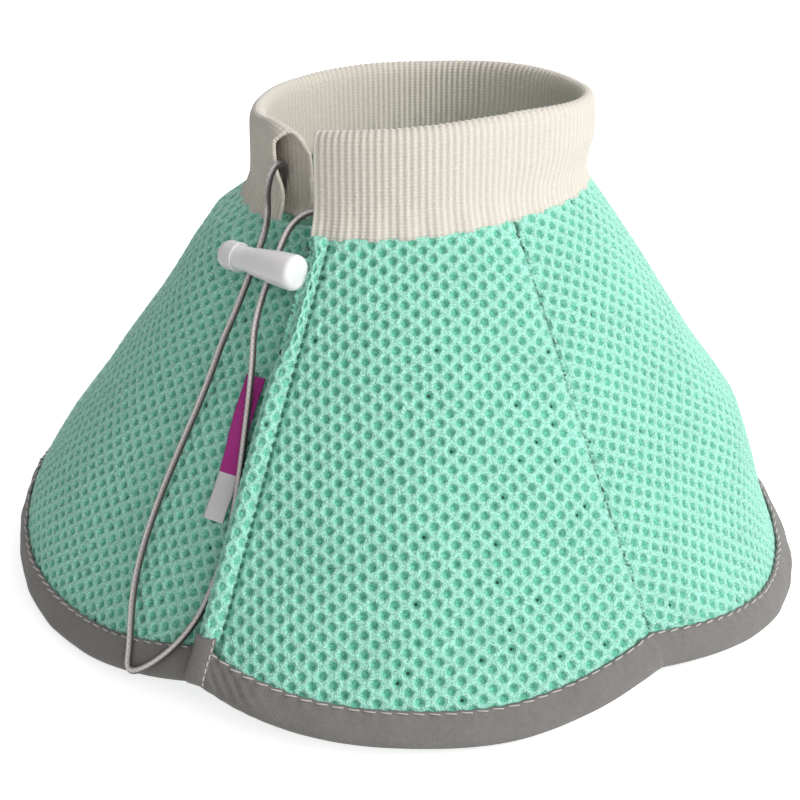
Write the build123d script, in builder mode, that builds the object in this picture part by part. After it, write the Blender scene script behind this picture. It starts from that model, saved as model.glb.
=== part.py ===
from build123d import *
from math import asin, cos, degrees, pi, radians, sin, tan
import os

os.makedirs("parts", exist_ok=True)

# A soft recovery cone: six petal panels of spacer mesh, a folded knit neck band with an elastic
# drawcord and a two-hole barrel cord lock, a bound scalloped hem, and a front panel that laps
# over its neighbour and closes with hook and loop.
# Lengths are millimetres and angles degrees. A "turn" is counted from the front (-Y) towards +X,
# a "drop" runs down the slant from the neck seam, and a "rise" stands off the cone's outer face.

# ---- driving dimensions ----
neck_seam_radius = 49.2        # outer face of the mesh where the neck band is sewn on
cone_half_angle = 33.6         # slope of the mesh, measured from upright
panel_drop = 128.8             # slant length down the middle of a panel
lobe_radius = 120.0            # round cut of each hem lobe
hem_allowance = 5.0            # extra slant length that the round cut takes off
mesh_thickness = 3.0
tape_thickness = 0.5           # woven tape of the hem binding, facing and seams
hem_binding_width = 8.5
facing_width = 5.0             # turned facing along the flap's free edge
seam_tape_width = 10.0
lap_lift = 6.3                 # how far the flap's own centre stands out towards its free edge
closure_slant = 1.9            # the closure line leans this far off a straight radial cut
closure_step = 3.8             # and starts this far round from it at the cone's axis
hinge_gap = 0.3                # open line of the seam that the flap turns about
under_edge = 3.0               # left panel's edge, past the closure line
lap_reach = 18.0               # lap strip, past the closure line
lap_tuck = 8.0                 # lap strip, sewn under the left panel
lap_above_tape = 6.0           # lap strip, past the loop tape's upper end
lap_below_tape = 3.0           # and past its lower end
lap_thickness = 1.2
loop_thickness = 1.7
closure_gap = 0.3              # least room between the hook and loop tapes
closure_tape_width = 12.0
closure_tape_length = 92.0
closure_tape_start = 12.0      # drop of the hook and loop tapes' upper ends
band_height = 23.8             # neck band, above the seam
band_radius = 47.3             # outer face of the band's wall
knit_thickness = 1.2           # one layer of the folded knit
channel_gap = 2.5              # room between the band's two layers
band_flare_height = 6.0        # the band's foot widens over this height to meet the mesh
band_fold_width = 13.0         # stretch of the flap's band that folds when the flap opens
mouth_back = 21.0              # turn from the closure to the outer lip of the band's open end
mouth_front = 4.5              # turn from the closure to its inner lip
cord_diameter = 1.8
held_end = -52.0               # turn where the held cord ends inside the band's open end
cord_height = 4.5              # drawcord in the channel, above the seam
label_width = 5.9
label_length = 39.0
label_drop = 42.5
label_thickness = 0.4
label_back = 6.4               # label's near edge, from the closure line

lock_length = 27.0             # cord lock from the cap's tip to the barrel's closed end
lock_radius = 4.7              # barrel at its wide closed end
lock_neck_radius = 3.4         # barrel where the cap slides on it
lock_flare = 0.1               # slope of the barrel's side where its neck ends
lock_bore_radius = 2.6
lock_end_wall = 1.5
lock_end_round = 1.8
lock_standoff = 0.5            # from the mesh to the barrel
lock_drop = 14.8               # barrel's axis, below the neck seam
lock_flap_gap = 0.6            # from the closure line to the barrel's closed end
plunger_travel = 3.2
plunger_clearance = 0.1        # radial, stem in barrel and cap on neck
plunger_stop = 0.2             # left between the pressed cap and the barrel's neck
cap_radius = 3.95
cap_length = 5.9
cap_top = 2.0                  # solid end of the cap
cap_dome = 3.0                 # length of its rounding
plunger_land = 2.0             # solid end that the spring pushes on
left_strand = 10.6             # cord holes, from the tip of the cap
right_strand = 17.0
hole_clearance = 0.35          # radial, cord in the barrel's holes
pinch_gap = 0.05               # cord to the window's edge that pinches it
window_spare = 0.15            # cord to the window's other edge, plunger pressed home
spring_wire = 0.5
spring_turns = 5.0
lead_in = 4.5                  # straight cord above the lock
lead_out = 7.5                 # straight cord below it
flap_exit_run = 3.4            # straight cord out of the flap's band

panel_names = [
    "panel_front",
    "panel_right",
    "panel_back_right",
    "panel_back_left",
    "panel_left_rear",
    "panel_left",
]

# ---- sizes that follow ----
panel_turn = 360 / len(panel_names)
spare_turn = panel_turn / 4    # arc past a panel's own edges, cut back afterwards
closure_turn = -panel_turn / 2
hinge_turn = panel_turn / 2
closure = (closure_turn - closure_slant, closure_step)
hinge = (hinge_turn, 0)
slant_out = sin(radians(cone_half_angle))
slant_down = cos(radians(cone_half_angle))
hem_stack = mesh_thickness + tape_thickness
seam_height = (panel_drop + tape_thickness) * slant_down + hem_stack * slant_out
wall_reach = panel_drop + hem_allowance
disc_reach = panel_drop / 2
band_top = seam_height + band_height
band_inner_radius = band_radius - 2 * knit_thickness - channel_gap
channel_radius = band_radius - knit_thickness - channel_gap / 2


def heading(turn):
    """Level unit vector that points outwards at a turn."""
    return Vector(sin(radians(turn)), -cos(radians(turn)), 0)


# The flap's own centre: lifted towards its free edge, and forward so that the bands' inner walls
# meet at the hinge. The ring's centre stands back by half of that, to centre the whole in its box.
flap_forward = band_inner_radius - (band_inner_radius**2 - lap_lift**2) ** 0.5
flap_shift = heading(hinge_turn - 90) * lap_lift + heading(hinge_turn) * flap_forward
ring_centre = Vector(0, -flap_shift.Y / 2, 0)
flap_centre = ring_centre + flap_shift


def on_cone(turn, drop, rise, centre=ring_centre):
    """Point at a turn, a drop and a rise."""
    reach = neck_seam_radius + drop * slant_out + rise * slant_down
    height = seam_height - drop * slant_down + rise * slant_out
    return centre + heading(turn) * reach + Vector(0, 0, height)


def face_plane(turn, centre=ring_centre):
    """Plane that touches the cone's outer face: x round the cone, y up the slant, z outwards."""
    outwards = heading(turn) * slant_down + Vector(0, 0, slant_out)
    return Plane(origin=on_cone(turn, 0, 0, centre), x_dir=heading(turn + 90), z_dir=outwards)


def side_plane(line, gap=0.0):
    """Upright plane along a line (its turn, its step from the axis), moved round by a gap."""
    turn, step = line
    origin = ring_centre + heading(turn + 90) * (step + gap)
    return Plane(origin=origin, x_dir=heading(turn), z_dir=heading(turn + 90))


def upright_plane(turn, centre=ring_centre):
    """Upright plane that holds the axis and a heading: x outwards, y up."""
    return Plane(origin=centre, x_dir=heading(turn), z_dir=heading(turn).cross(Vector(0, 0, 1)))


def cone_layer(start, arc, low, high, centre=ring_centre, top=0.0, bottom=wall_reach):
    """Layer of the cone between two rises and two drops, cut level at the top."""
    level = slant_out / slant_down
    corners = [(top + low * level, low), (top + high * level, high), (bottom, high), (bottom, low)]
    outline = []
    for drop, rise in corners:
        reach = neck_seam_radius + drop * slant_out + rise * slant_down
        outline.append((reach, seam_height - drop * slant_down + rise * slant_out))
    with BuildPart() as layer:
        with BuildSketch(upright_plane(start, centre)):
            with BuildLine():
                Polyline(*outline, close=True)
            make_face()
        revolve(axis=Axis(centre, (0, 0, 1)), revolution_arc=arc)
    return layer.part


def hem_disc(turn, radius, centre=ring_centre):
    """Round bar square to a panel's face; the panel's hem is its lower edge."""
    with BuildPart() as disc:
        with BuildSketch(face_plane(turn, centre)):
            with Locations((0, lobe_radius - panel_drop)):
                Circle(radius)
        extrude(amount=disc_reach, both=True)
    return disc.part


def edge_strip(line, near, far, low, high, top, bottom, centre=ring_centre):
    """Parallel-sided strip of the cone between two distances from a line's side plane."""
    half_arc = panel_turn / 2 + spare_turn
    with BuildPart() as strip:
        add(cone_layer(line[0] - half_arc, 2 * half_arc, low, high, centre, top, bottom))
        split(bisect_by=side_plane(line, near), keep=Keep.TOP)
        split(bisect_by=side_plane(line, far), keep=Keep.BOTTOM)
    return strip.part


def bound_hem(turn, layer, centre, panel):
    """Tape folded over one panel's hem: both faces and the edge, round the panel's own cut."""
    with BuildPart() as hem:
        add(layer)
        add(hem_disc(turn, lobe_radius + tape_thickness, centre), mode=Mode.INTERSECT)
        add(hem_disc(turn, lobe_radius - hem_binding_width, centre), mode=Mode.SUBTRACT)
        add(panel, mode=Mode.SUBTRACT)
    return hem.part


def save(piece, name):
    """Label a finished piece and write it."""
    piece.part.label = name
    export_step(piece.part, f"parts/{name}.step")


# ---- front panel: the closure flap, on its own lifted centre ----
flap_sides = [side_plane(closure), side_plane(hinge, -hinge_gap)]
flap_start = closure_turn - spare_turn
flap_arc = panel_turn + 2 * spare_turn
with BuildPart() as panel_front:
    add(cone_layer(flap_start, flap_arc, -mesh_thickness, 0, flap_centre))
    split(bisect_by=flap_sides[0], keep=Keep.TOP)
    split(bisect_by=flap_sides[1], keep=Keep.BOTTOM)
    add(hem_disc(0, lobe_radius, flap_centre), mode=Mode.INTERSECT)
save(panel_front, panel_names[0])

# ---- the other panels, each sewn to the next; the last runs on under the flap ----
notch_depth = 2 * mesh_thickness
under_notch = edge_strip(
    closure, 0, 2 * under_edge, -notch_depth, notch_depth, -under_edge, under_edge
)
root_panels = []
root_hems = []
for index, panel_name in enumerate(panel_names[1:], start=1):
    panel_middle = index * panel_turn
    panel_start = panel_middle - panel_turn / 2
    is_last = index == len(panel_names) - 1
    panel_arc = panel_turn + spare_turn if is_last else panel_turn
    with BuildPart() as panel:
        add(cone_layer(panel_start, panel_arc, -mesh_thickness, 0))
        add(hem_disc(panel_middle, lobe_radius), mode=Mode.INTERSECT)
        if is_last:
            split(bisect_by=side_plane(closure, under_edge), keep=Keep.BOTTOM)
            add(under_notch, mode=Mode.SUBTRACT)
    save(panel, panel_name)
    root_panels.append(panel.part)

    with BuildPart() as hem_layer:
        add(cone_layer(panel_start, panel_arc, -hem_stack, tape_thickness))
        if is_last:
            split(bisect_by=side_plane(closure, under_edge), keep=Keep.BOTTOM)
    root_hems.append(bound_hem(panel_middle, hem_layer.part, ring_centre, panel.part))

with BuildPart() as hem_binding:
    for root_hem in root_hems:
        add(root_hem)
save(hem_binding, "hem_binding")

# ---- the flap's own binding: it wraps the corner at the free edge ----
with BuildPart() as flap_hem_layer:
    add(cone_layer(flap_start, flap_arc, -hem_stack, tape_thickness, flap_centre))
    split(bisect_by=side_plane(closure, -tape_thickness), keep=Keep.TOP)
    split(bisect_by=flap_sides[1], keep=Keep.BOTTOM)
with BuildPart() as hem_binding_flap:
    add(bound_hem(0, flap_hem_layer.part, flap_centre, panel_front.part))
save(hem_binding_flap, "hem_binding_flap")

# ---- facing turned over the flap's free edge, down to the hem binding ----
with BuildPart() as flap_facing:
    add(
        edge_strip(
            closure,
            -tape_thickness,
            facing_width,
            -hem_stack,
            tape_thickness,
            0,
            wall_reach,
            flap_centre,
        )
    )
    add(hem_disc(0, lobe_radius - hem_binding_width, flap_centre), mode=Mode.INTERSECT)
    add(panel_front.part, mode=Mode.SUBTRACT)
save(flap_facing, "flap_facing")

# ---- closure: lap strip sewn under the left panel, loop tape on it, hook tape in the flap ----
closure_tape_end = closure_tape_start + closure_tape_length
lap_top = closure_tape_start - lap_above_tape
lap_bottom = closure_tape_end + lap_below_tape
tape_start = under_edge + (lap_reach - under_edge - closure_tape_width) / 2

with BuildPart() as lap_strip:
    add(
        edge_strip(
            closure,
            -lap_tuck,
            lap_reach,
            -mesh_thickness - lap_thickness,
            -mesh_thickness,
            lap_top,
            lap_bottom,
        )
    )
save(lap_strip, "lap_strip")

with BuildPart() as loop_tape:
    add(
        edge_strip(
            closure,
            tape_start,
            tape_start + closure_tape_width,
            -mesh_thickness,
            loop_thickness - mesh_thickness,
            closure_tape_start,
            closure_tape_end,
        )
    )
save(loop_tape, "loop_tape")

# The hook tape fills the room that the flap's lift leaves over the loop tape's upper corner.
hook_start = max(tape_start, facing_width)
hook_end = hook_start + closure_tape_width
corner_reach = neck_seam_radius + closure_tape_start * slant_out
corner_turn = closure[0] + degrees(asin((closure_step + hook_end) / corner_reach))
least_lift = lap_lift * cos(radians(corner_turn - hinge_turn + 90)) * slant_down
hook_thickness = least_lift - loop_thickness - closure_gap
with BuildPart() as hook_tape:
    add(
        edge_strip(
            closure,
            hook_start,
            hook_end,
            -mesh_thickness - hook_thickness,
            -mesh_thickness,
            closure_tape_start,
            closure_tape_end,
            flap_centre,
        )
    )
save(hook_tape, "hook_tape")

# ---- seam tapes over the seam allowances inside, down to the hem binding ----
for index in range(1, len(panel_names)):
    seam_turn = (index - 0.5) * panel_turn
    near_hem = lobe_radius - hem_binding_width - tape_thickness
    tape_near = 0 if index == 1 else -seam_tape_width / 2
    with BuildPart() as seam_tape:
        add(
            edge_strip(
                (seam_turn, 0),
                tape_near,
                seam_tape_width / 2,
                -hem_stack,
                -mesh_thickness,
                tape_thickness,
                wall_reach,
            )
        )
        add(hem_disc(index * panel_turn, near_hem), mode=Mode.INTERSECT)
        if index > 1:
            add(hem_disc((index - 1) * panel_turn, near_hem), mode=Mode.INTERSECT)
    save(seam_tape, f"seam_tape_{index}")

# ---- woven label beside the closure ----
with BuildPart() as label_tab:
    add(
        edge_strip(
            closure,
            -label_back - label_width,
            -label_back,
            0,
            label_thickness,
            label_drop,
            label_drop + label_length,
        )
    )
save(label_tab, "label_tab")


# ---- neck band: knit folded double, its foot flared out to sit on the mesh ----
def band_solid(start, arc, centre):
    """The folded band with its open channel, turned through an arc."""
    fold = (band_radius - band_inner_radius) / 2
    channel_foot = seam_height + knit_thickness
    channel_top = band_top - knit_thickness
    with BuildPart() as band:
        with BuildSketch(upright_plane(start, centre)):
            with BuildLine():
                Polyline(
                    (band_inner_radius, band_top - fold),
                    (band_inner_radius, seam_height),
                    (neck_seam_radius, seam_height),
                )
                Spline(
                    (neck_seam_radius, seam_height),
                    (band_radius, seam_height + band_flare_height),
                    tangents=[(-slant_out, slant_down), (0, 1)],
                )
                Line((band_radius, seam_height + band_flare_height), (band_radius, band_top - fold))
                RadiusArc((band_radius, band_top - fold), (band_inner_radius, band_top - fold), -fold)
            make_face()
            with Locations((channel_radius, (channel_foot + channel_top) / 2)):
                SlotOverall(channel_top - channel_foot, channel_gap, rotation=90, mode=Mode.SUBTRACT)
        revolve(axis=Axis(centre, (0, 0, 1)), revolution_arc=arc)
    return band.part


mouth_outer = ring_centre + heading(closure_turn - mouth_back) * band_radius
mouth_inner = ring_centre + heading(closure_turn - mouth_front) * band_inner_radius
mouth_run = mouth_inner - mouth_outer
mouth_plane = Plane(origin=mouth_outer, x_dir=mouth_run, z_dir=Vector(0, 0, 1).cross(mouth_run))
with BuildPart() as neck_band:
    add(band_solid(hinge_turn, 360 - panel_turn - mouth_front, ring_centre))
    split(bisect_by=mouth_plane, keep=Keep.TOP)
save(neck_band, "neck_band")

# The flap's part of the band is sewn to its panel; the last of it folds beside the hinge.
with BuildPart() as band_on_flap:
    add(band_solid(2 * closure_turn, 2 * panel_turn, flap_centre))
    split(bisect_by=flap_sides[0], keep=Keep.TOP)
    split(bisect_by=flap_sides[1], keep=Keep.BOTTOM)
fold_side = side_plane(hinge, -hinge_gap - band_fold_width)
with BuildPart() as neck_band_flap:
    add(band_on_flap.part)
    split(bisect_by=fold_side, keep=Keep.BOTTOM)
save(neck_band_flap, "neck_band_flap")

with BuildPart() as neck_band_fold:
    add(band_on_flap.part)
    split(bisect_by=fold_side, keep=Keep.TOP)
save(neck_band_fold, "neck_band_fold")

# ---- cord lock: lies round the cone on the left panel, its closed end towards the flap ----
lock_reach = neck_seam_radius + lock_drop * slant_out
closure_at_lock = closure[0] + degrees(asin(closure_step / lock_reach))
lock_turn = closure_at_lock - degrees((lock_length / 2 + lock_flap_gap) / lock_reach)
lock_rise = lock_radius + lock_standoff
lock_face = face_plane(lock_turn)
lock_centre = lock_face.from_local_coords(Vector(0, -lock_drop, lock_rise))
lock_axis = Plane(origin=lock_centre, x_dir=lock_face.x_dir, z_dir=lock_face.z_dir)
tip = -lock_length / 2
end = lock_length / 2
mouth = tip + cap_top + plunger_travel + plunger_stop
cap_edge = tip + cap_length
neck_end = cap_edge + plunger_travel + plunger_stop
strands = [tip + left_strand, tip + right_strand]
hole_radius = cord_diameter / 2 + hole_clearance
stem_radius = lock_bore_radius - plunger_clearance
skirt_radius = lock_neck_radius + plunger_clearance
window_right = cord_diameter / 2 + pinch_gap
window_left = cord_diameter / 2 + window_spare + plunger_travel
stem_end = strands[1] + window_right + plunger_land
window_height = cord_diameter + 2 * hole_clearance
shoulder = end - lock_end_round

with BuildPart() as cord_lock_barrel:
    with BuildSketch(lock_axis):
        with BuildLine():
            Polyline((mouth, 0), (mouth, lock_neck_radius), (neck_end, lock_neck_radius))
            Spline(
                (neck_end, lock_neck_radius),
                (shoulder, lock_radius),
                tangents=[(1, lock_flare), (1, 0)],
            )
            RadiusArc(
                (shoulder, lock_radius), (end, lock_radius - lock_end_round), lock_end_round
            )
            Polyline((end, lock_radius - lock_end_round), (end, 0), (mouth, 0))
        make_face()
    revolve(axis=Axis(lock_centre, lock_axis.x_dir))
    with BuildSketch(Plane(lock_centre, x_dir=lock_axis.y_dir, z_dir=lock_axis.x_dir).offset(mouth)):
        Circle(lock_bore_radius)
    extrude(amount=end - lock_end_wall - mouth, mode=Mode.SUBTRACT)
    for strand in strands:
        strand_foot = lock_axis.from_local_coords(Vector(strand, 0, 0))
        with BuildSketch(Plane(strand_foot, x_dir=lock_axis.x_dir, z_dir=lock_axis.y_dir)):
            Circle(hole_radius)
        extrude(amount=2 * lock_radius, both=True, mode=Mode.SUBTRACT)
save(cord_lock_barrel, "cord_lock_barrel")

# ---- plunger: domed cap over the neck, stem and one window for each strand, pinched at rest ----
with BuildPart() as cord_lock_plunger:
    with BuildSketch(lock_axis):
        with BuildLine():
            Spline((tip, 0), (tip + cap_dome, cap_radius), tangents=[(0, 1), (1, 0)])
            Polyline(
                (tip + cap_dome, cap_radius),
                (cap_edge, cap_radius),
                (cap_edge, skirt_radius),
                (tip + cap_top, skirt_radius),
                (tip + cap_top, stem_radius),
                (stem_end, stem_radius),
                (stem_end, 0),
                (tip, 0),
            )
        make_face()
    revolve(axis=Axis(lock_centre, lock_axis.x_dir))
    for strand in strands:
        window_middle = strand + (window_right - window_left) / 2
        window_foot = lock_axis.from_local_coords(Vector(window_middle, 0, 0))
        with BuildSketch(Plane(window_foot, x_dir=lock_axis.x_dir, z_dir=lock_axis.y_dir)):
            Rectangle(window_left + window_right, window_height)
        extrude(amount=2 * lock_radius, both=True, mode=Mode.SUBTRACT)
save(cord_lock_plunger, "cord_lock_plunger")

# ---- spring between the plunger's end and the barrel's closed end ----
spring_length = end - lock_end_wall - stem_end
coil_radius = stem_radius - spring_wire
coil_rise = spring_length - 2 * spring_wire
spring_foot = lock_axis.from_local_coords(Vector(stem_end + spring_wire, 0, 0))
with BuildPart() as cord_lock_spring:
    with BuildLine():
        coil = Helix(
            pitch=coil_rise / spring_turns,
            height=coil_rise,
            radius=coil_radius,
            center=spring_foot,
            direction=lock_axis.x_dir,
        )
    with BuildSketch(Plane(origin=coil @ 0, z_dir=coil % 0)):
        Circle(spring_wire / 2)
    sweep(is_frenet=True)
save(cord_lock_spring, "cord_lock_spring")


# ---- drawcord: held in the band's channel, out of both band ends, through the lock, one loop ----
def cord_tube(route, name):
    """Round cord along straight runs joined by tangent arcs as large as the runs allow."""
    radii = []
    for before, corner, after in zip(route, route[1:], route[2:]):
        turn = (corner - before).get_angle(after - corner)
        shorter = min((corner - before).length, (after - corner).length)
        radii.append(0.45 * shorter / tan(radians(turn / 2)))
    print(name, "radii", [round(radius, 1) for radius in radii])
    with BuildPart() as cord:
        with BuildLine():
            path = FilletPolyline(*route, radius=radii)
        with BuildSketch(Plane(origin=path @ 0, z_dir=path % 0)):
            Circle(cord_diameter / 2)
        sweep()
    section = pi * cord_diameter**2 / 4
    print(name, "volume over section times length", round(cord.part.volume / section / path.length, 4))
    save(cord, name)
    return path.length


def channel_cord(start, arc, centre):
    """Stretch of cord inside the band's channel, turned through an arc."""
    with BuildPart() as held:
        with BuildSketch(upright_plane(start, centre)):
            with Locations((channel_radius, seam_height + cord_height)):
                Circle(cord_diameter / 2)
        revolve(axis=Axis(centre, (0, 0, 1)), revolution_arc=arc)
    return held.part


with BuildPart() as drawcord_neck_run:
    add(channel_cord(hinge_turn, 360 - hinge_turn + held_end, ring_centre))
save(drawcord_neck_run, "drawcord_neck_run")

with BuildPart() as drawcord_flap_run:
    add(channel_cord(2 * closure_turn, 2 * panel_turn, flap_centre))
    split(bisect_by=flap_sides[0], keep=Keep.TOP)
    split(bisect_by=flap_sides[1], keep=Keep.BOTTOM)
save(drawcord_flap_run, "drawcord_flap_run")

bore_reach = lock_radius + hole_clearance


def in_lock(strand, along):
    """Point on a strand's own line through the lock, counted up the slant from its axis."""
    return lock_axis.from_local_coords(Vector(strand, along, 0))


# The held cord ends where its ring meets the closure line.
closure_normal = heading(closure[0] + 90)
closure_origin = ring_centre + closure_normal * closure[1]
off_line = (flap_centre - closure_origin).dot(closure_normal)
along_line = (channel_radius**2 - off_line**2) ** 0.5
channel_cord_height = Vector(0, 0, seam_height + cord_height)
flap_line_foot = flap_centre - closure_normal * off_line
flap_run_end = flap_line_foot + heading(closure[0]) * along_line + channel_cord_height
neck_run_end = ring_centre + heading(held_end) * channel_radius + channel_cord_height

# Outside the band it is one cord: down through the lock, round the loop and back up.
loop_route = [
    neck_run_end,
    on_cone(-47.6, -6.2, -1.3),
    on_cone(-44.3, -5.3, -0.3),
    on_cone(-43.8, -2.6, 1.6),
    on_cone(-44.3, 1.4, 3.4),
    in_lock(strands[0], bore_reach + lead_in),
    in_lock(strands[0], -bore_reach - lead_out),
    on_cone(-46.4, 35.0, 3.6),
    on_cone(-46.7, 44.0, 2.2),
    on_cone(-46.8, 57.0, 1.6),
    on_cone(-47.2, 72.0, 1.5),
    on_cone(-47.0, 87.0, 1.5),
    on_cone(-46.0, 100.0, 1.5),
    on_cone(-44.4, 109.0, 1.6),
    on_cone(-42.6, 116.0, 1.8),
    on_cone(-41.6, 120.8, 1.8),
    on_cone(-41.2, 124.0, 1.8),
    on_cone(-40.2, 125.0, 1.8),
    on_cone(-38.6, 122.9, 1.8),
    on_cone(-36.5, 118.6, 1.8),
    on_cone(-34.3, 112.4, 1.8),
    on_cone(-32.7, 105.2, 1.6),
    on_cone(-31.9, 96.0, 1.5),
    on_cone(-31.6, 86.0, 1.5),
    on_cone(-32.0, 76.0, 1.7),
    on_cone(-33.0, 66.0, 2.0),
    on_cone(-34.3, 56.0, 2.1),
    on_cone(-35.8, 46.0, 2.4),
    on_cone(-37.3, 36.5, 3.6),
    in_lock(strands[1], -bore_reach - lead_out),
    in_lock(strands[1], bore_reach + lead_in),
    on_cone(-35.6, 0.8, 4.0),
    flap_run_end - closure_normal * flap_exit_run,
    flap_run_end,
]
loop_length = cord_tube(loop_route, "drawcord_loop")
print("free cord length", round(loop_length, 1))
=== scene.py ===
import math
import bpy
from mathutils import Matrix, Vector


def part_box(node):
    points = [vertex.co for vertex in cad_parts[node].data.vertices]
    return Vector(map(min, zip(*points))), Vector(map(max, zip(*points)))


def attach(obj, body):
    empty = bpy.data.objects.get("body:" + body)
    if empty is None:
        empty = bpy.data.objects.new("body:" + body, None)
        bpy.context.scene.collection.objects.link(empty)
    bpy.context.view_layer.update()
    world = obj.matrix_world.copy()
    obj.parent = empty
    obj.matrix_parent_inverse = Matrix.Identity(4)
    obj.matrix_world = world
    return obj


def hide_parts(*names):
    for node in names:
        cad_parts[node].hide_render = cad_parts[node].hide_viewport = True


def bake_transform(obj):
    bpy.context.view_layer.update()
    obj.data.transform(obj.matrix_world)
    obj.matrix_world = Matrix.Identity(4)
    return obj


bl_info = {
    "name": "Recovery Cone",
    "version": (1, 0, 0),
    "blender": (4, 5, 0),
    "location": "View3D > Sidebar > Recovery Cone",
    "description": "A soft petal recovery cone with a knit neck band, drawcord and bound hem",
    "category": "Add Mesh",
}

import bmesh
import bpy
import numpy as np
from bpy.props import FloatProperty, FloatVectorProperty, IntProperty, PointerProperty
from mathutils import Vector

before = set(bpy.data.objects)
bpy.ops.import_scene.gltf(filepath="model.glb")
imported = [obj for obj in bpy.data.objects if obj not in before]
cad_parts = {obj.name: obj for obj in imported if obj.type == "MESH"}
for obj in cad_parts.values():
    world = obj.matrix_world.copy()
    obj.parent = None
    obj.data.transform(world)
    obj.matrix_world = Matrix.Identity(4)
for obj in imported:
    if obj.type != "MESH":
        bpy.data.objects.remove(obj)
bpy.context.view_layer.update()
SEAM_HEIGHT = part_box("neck_band")[0].z

# Lengths are metres and angles degrees. A "turn" is counted from the front (-Y) towards +X,
# a "drop" runs down the slant from the neck seam, and a "rise" stands off the cone's outer face.
PANEL_MIDDLES = {
    "panel_front": 0,
    "panel_right": 60,
    "panel_back_right": 120,
    "panel_back_left": 180,
    "panel_left_rear": 240,
    "panel_left": 300,
}
PANEL_TURN = 60
HINGE_TURN = 30
CLOSURE_TURN = -30
LOCK_LINE = (-31.9, 0.0038)  # line that the cord lock rests on: its turn and its step from the axis
CORD_REACH = 0.04485  # from the band's axis to the cord inside it
CORD_RISE = 0.0045  # height of that cord above the neck seam
BAND_DROP = -0.0035  # the band stands above the seam, so its own drop is negative
JOIN_TURN = 150
# How much shorter the panels beside the closure are worn than their lobes, at turns
HEM_TRIMS = {
    0: (
        [-30, -22.5, -15, -8, -1.5, 5, 11, 18, 26, 34],
        [0.0060, 0.0041, 0.0031, 0.0027, 0.0025, 0.0016, 0.0007, 0.0005, 0.0004, 0.0002],
    ),
    60: ([30, 45, 60, 72, 84, 90], [0.0, -0.0008, -0.0012, -0.0016, -0.0008, 0.0]),
    300: ([275, 300, 312, 320, 326, 331], [0, 0.0005, 0.0011, 0.0020, 0.0028, 0.0034]),
}


# ---------------------------------------------------------------- sizes and colours


def length(label, about, default):
    """A length that a user may change."""
    return FloatProperty(name=label, description=about, default=default, precision=5, unit="LENGTH")


def colour(label, about, default):
    """A colour that a user may change."""
    return FloatVectorProperty(
        name=label, description=about, default=default, size=3, min=0, max=1, subtype="COLOR"
    )


class ConeSizes(bpy.types.PropertyGroup):
    """The sewn cone: the same sizes as the frame's."""

    neck_radius: length("Neck radius", "Outer face of the mesh at the neck seam", 0.0492)
    half_angle: FloatProperty(
        name="Half angle",
        description="Slope of the mesh from upright",
        default=math.radians(33.6),
        subtype="ANGLE",
    )
    panel_drop: length("Panel drop", "Slant length down the middle of a panel", 0.1288)
    lobe_radius: length("Lobe radius", "Round cut of each hem lobe", 0.120)
    cloth_thickness: length("Cloth thickness", "Thickness of the spacer mesh", 0.003)
    flap_lift: length("Flap lift", "How far the flap's own centre stands out", 0.0063)
    closure_slant: FloatProperty(
        name="Closure slant",
        description="Lean of the closure line off a radial cut",
        default=math.radians(0.86),
        subtype="ANGLE",
    )
    closure_step: length("Closure step", "Step of the closure line from the axis", -0.0001)
    seam_pinch: length("Seam pinch", "Depth of the groove at each seam", 0.0007)
    seam_groove: length("Seam groove", "Half width of that groove", 0.0030)
    seam_flat: length("Seam flat", "Pressed strip beside each seam", 0.0052)
    belly: length("Belly", "How far the sides swell", 0.0036)
    neck_shift: length("Neck shift", "How far the neck sits to one side", 0.0024)
    neck_tilt: FloatProperty(name="Neck tilt", description="Rise of the neck to that side", default=0.042)


class ClothSizes(bpy.types.PropertyGroup):
    """The knitted openings of the spacer mesh."""

    pitch: length("Pitch", "From one opening to the next along a row", 0.0052)
    row: length("Row", "From one staggered row to the next", 0.00233)
    opening: length("Opening", "Radius of an opening", 0.00124)
    depth: length("Depth", "Depth of an opening", 0.00125)
    seed: IntProperty(name="Seed", description="Choice of the see-through openings", default=4)


class BandSizes(bpy.types.PropertyGroup):
    """The folded rib-knit neck band."""

    outer_radius: length("Outer radius", "Outer face of the band", 0.0473)
    inner_radius: length("Inner radius", "Inner face of the band", 0.0424)
    height: length("Height", "Band above the neck seam", 0.0238)
    knit: length("Knit", "Thickness of one layer", 0.0012)
    rib_pitch: length("Rib pitch", "From one rib to the next", 0.00185)
    rib_height: length("Rib height", "Half the depth of the ribs", 0.00014)


class TrimSizes(bpy.types.PropertyGroup):
    """Bindings, stitches, cord and label."""

    tape: length("Tape", "Thickness of the woven tapes", 0.0005)
    stitch_pitch: length("Stitch pitch", "From one stitch to the next", 0.004)
    stitch_length: length("Stitch length", "Thread showing in one stitch", 0.0029)
    thread: length("Thread", "Sewing thread's diameter", 0.00038)
    cord: length("Cord", "Drawcord's diameter", 0.0018)
    label_width: length("Label width", "Woven label", 0.0059)
    label_length: length("Label length", "Woven label", 0.039)


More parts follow.
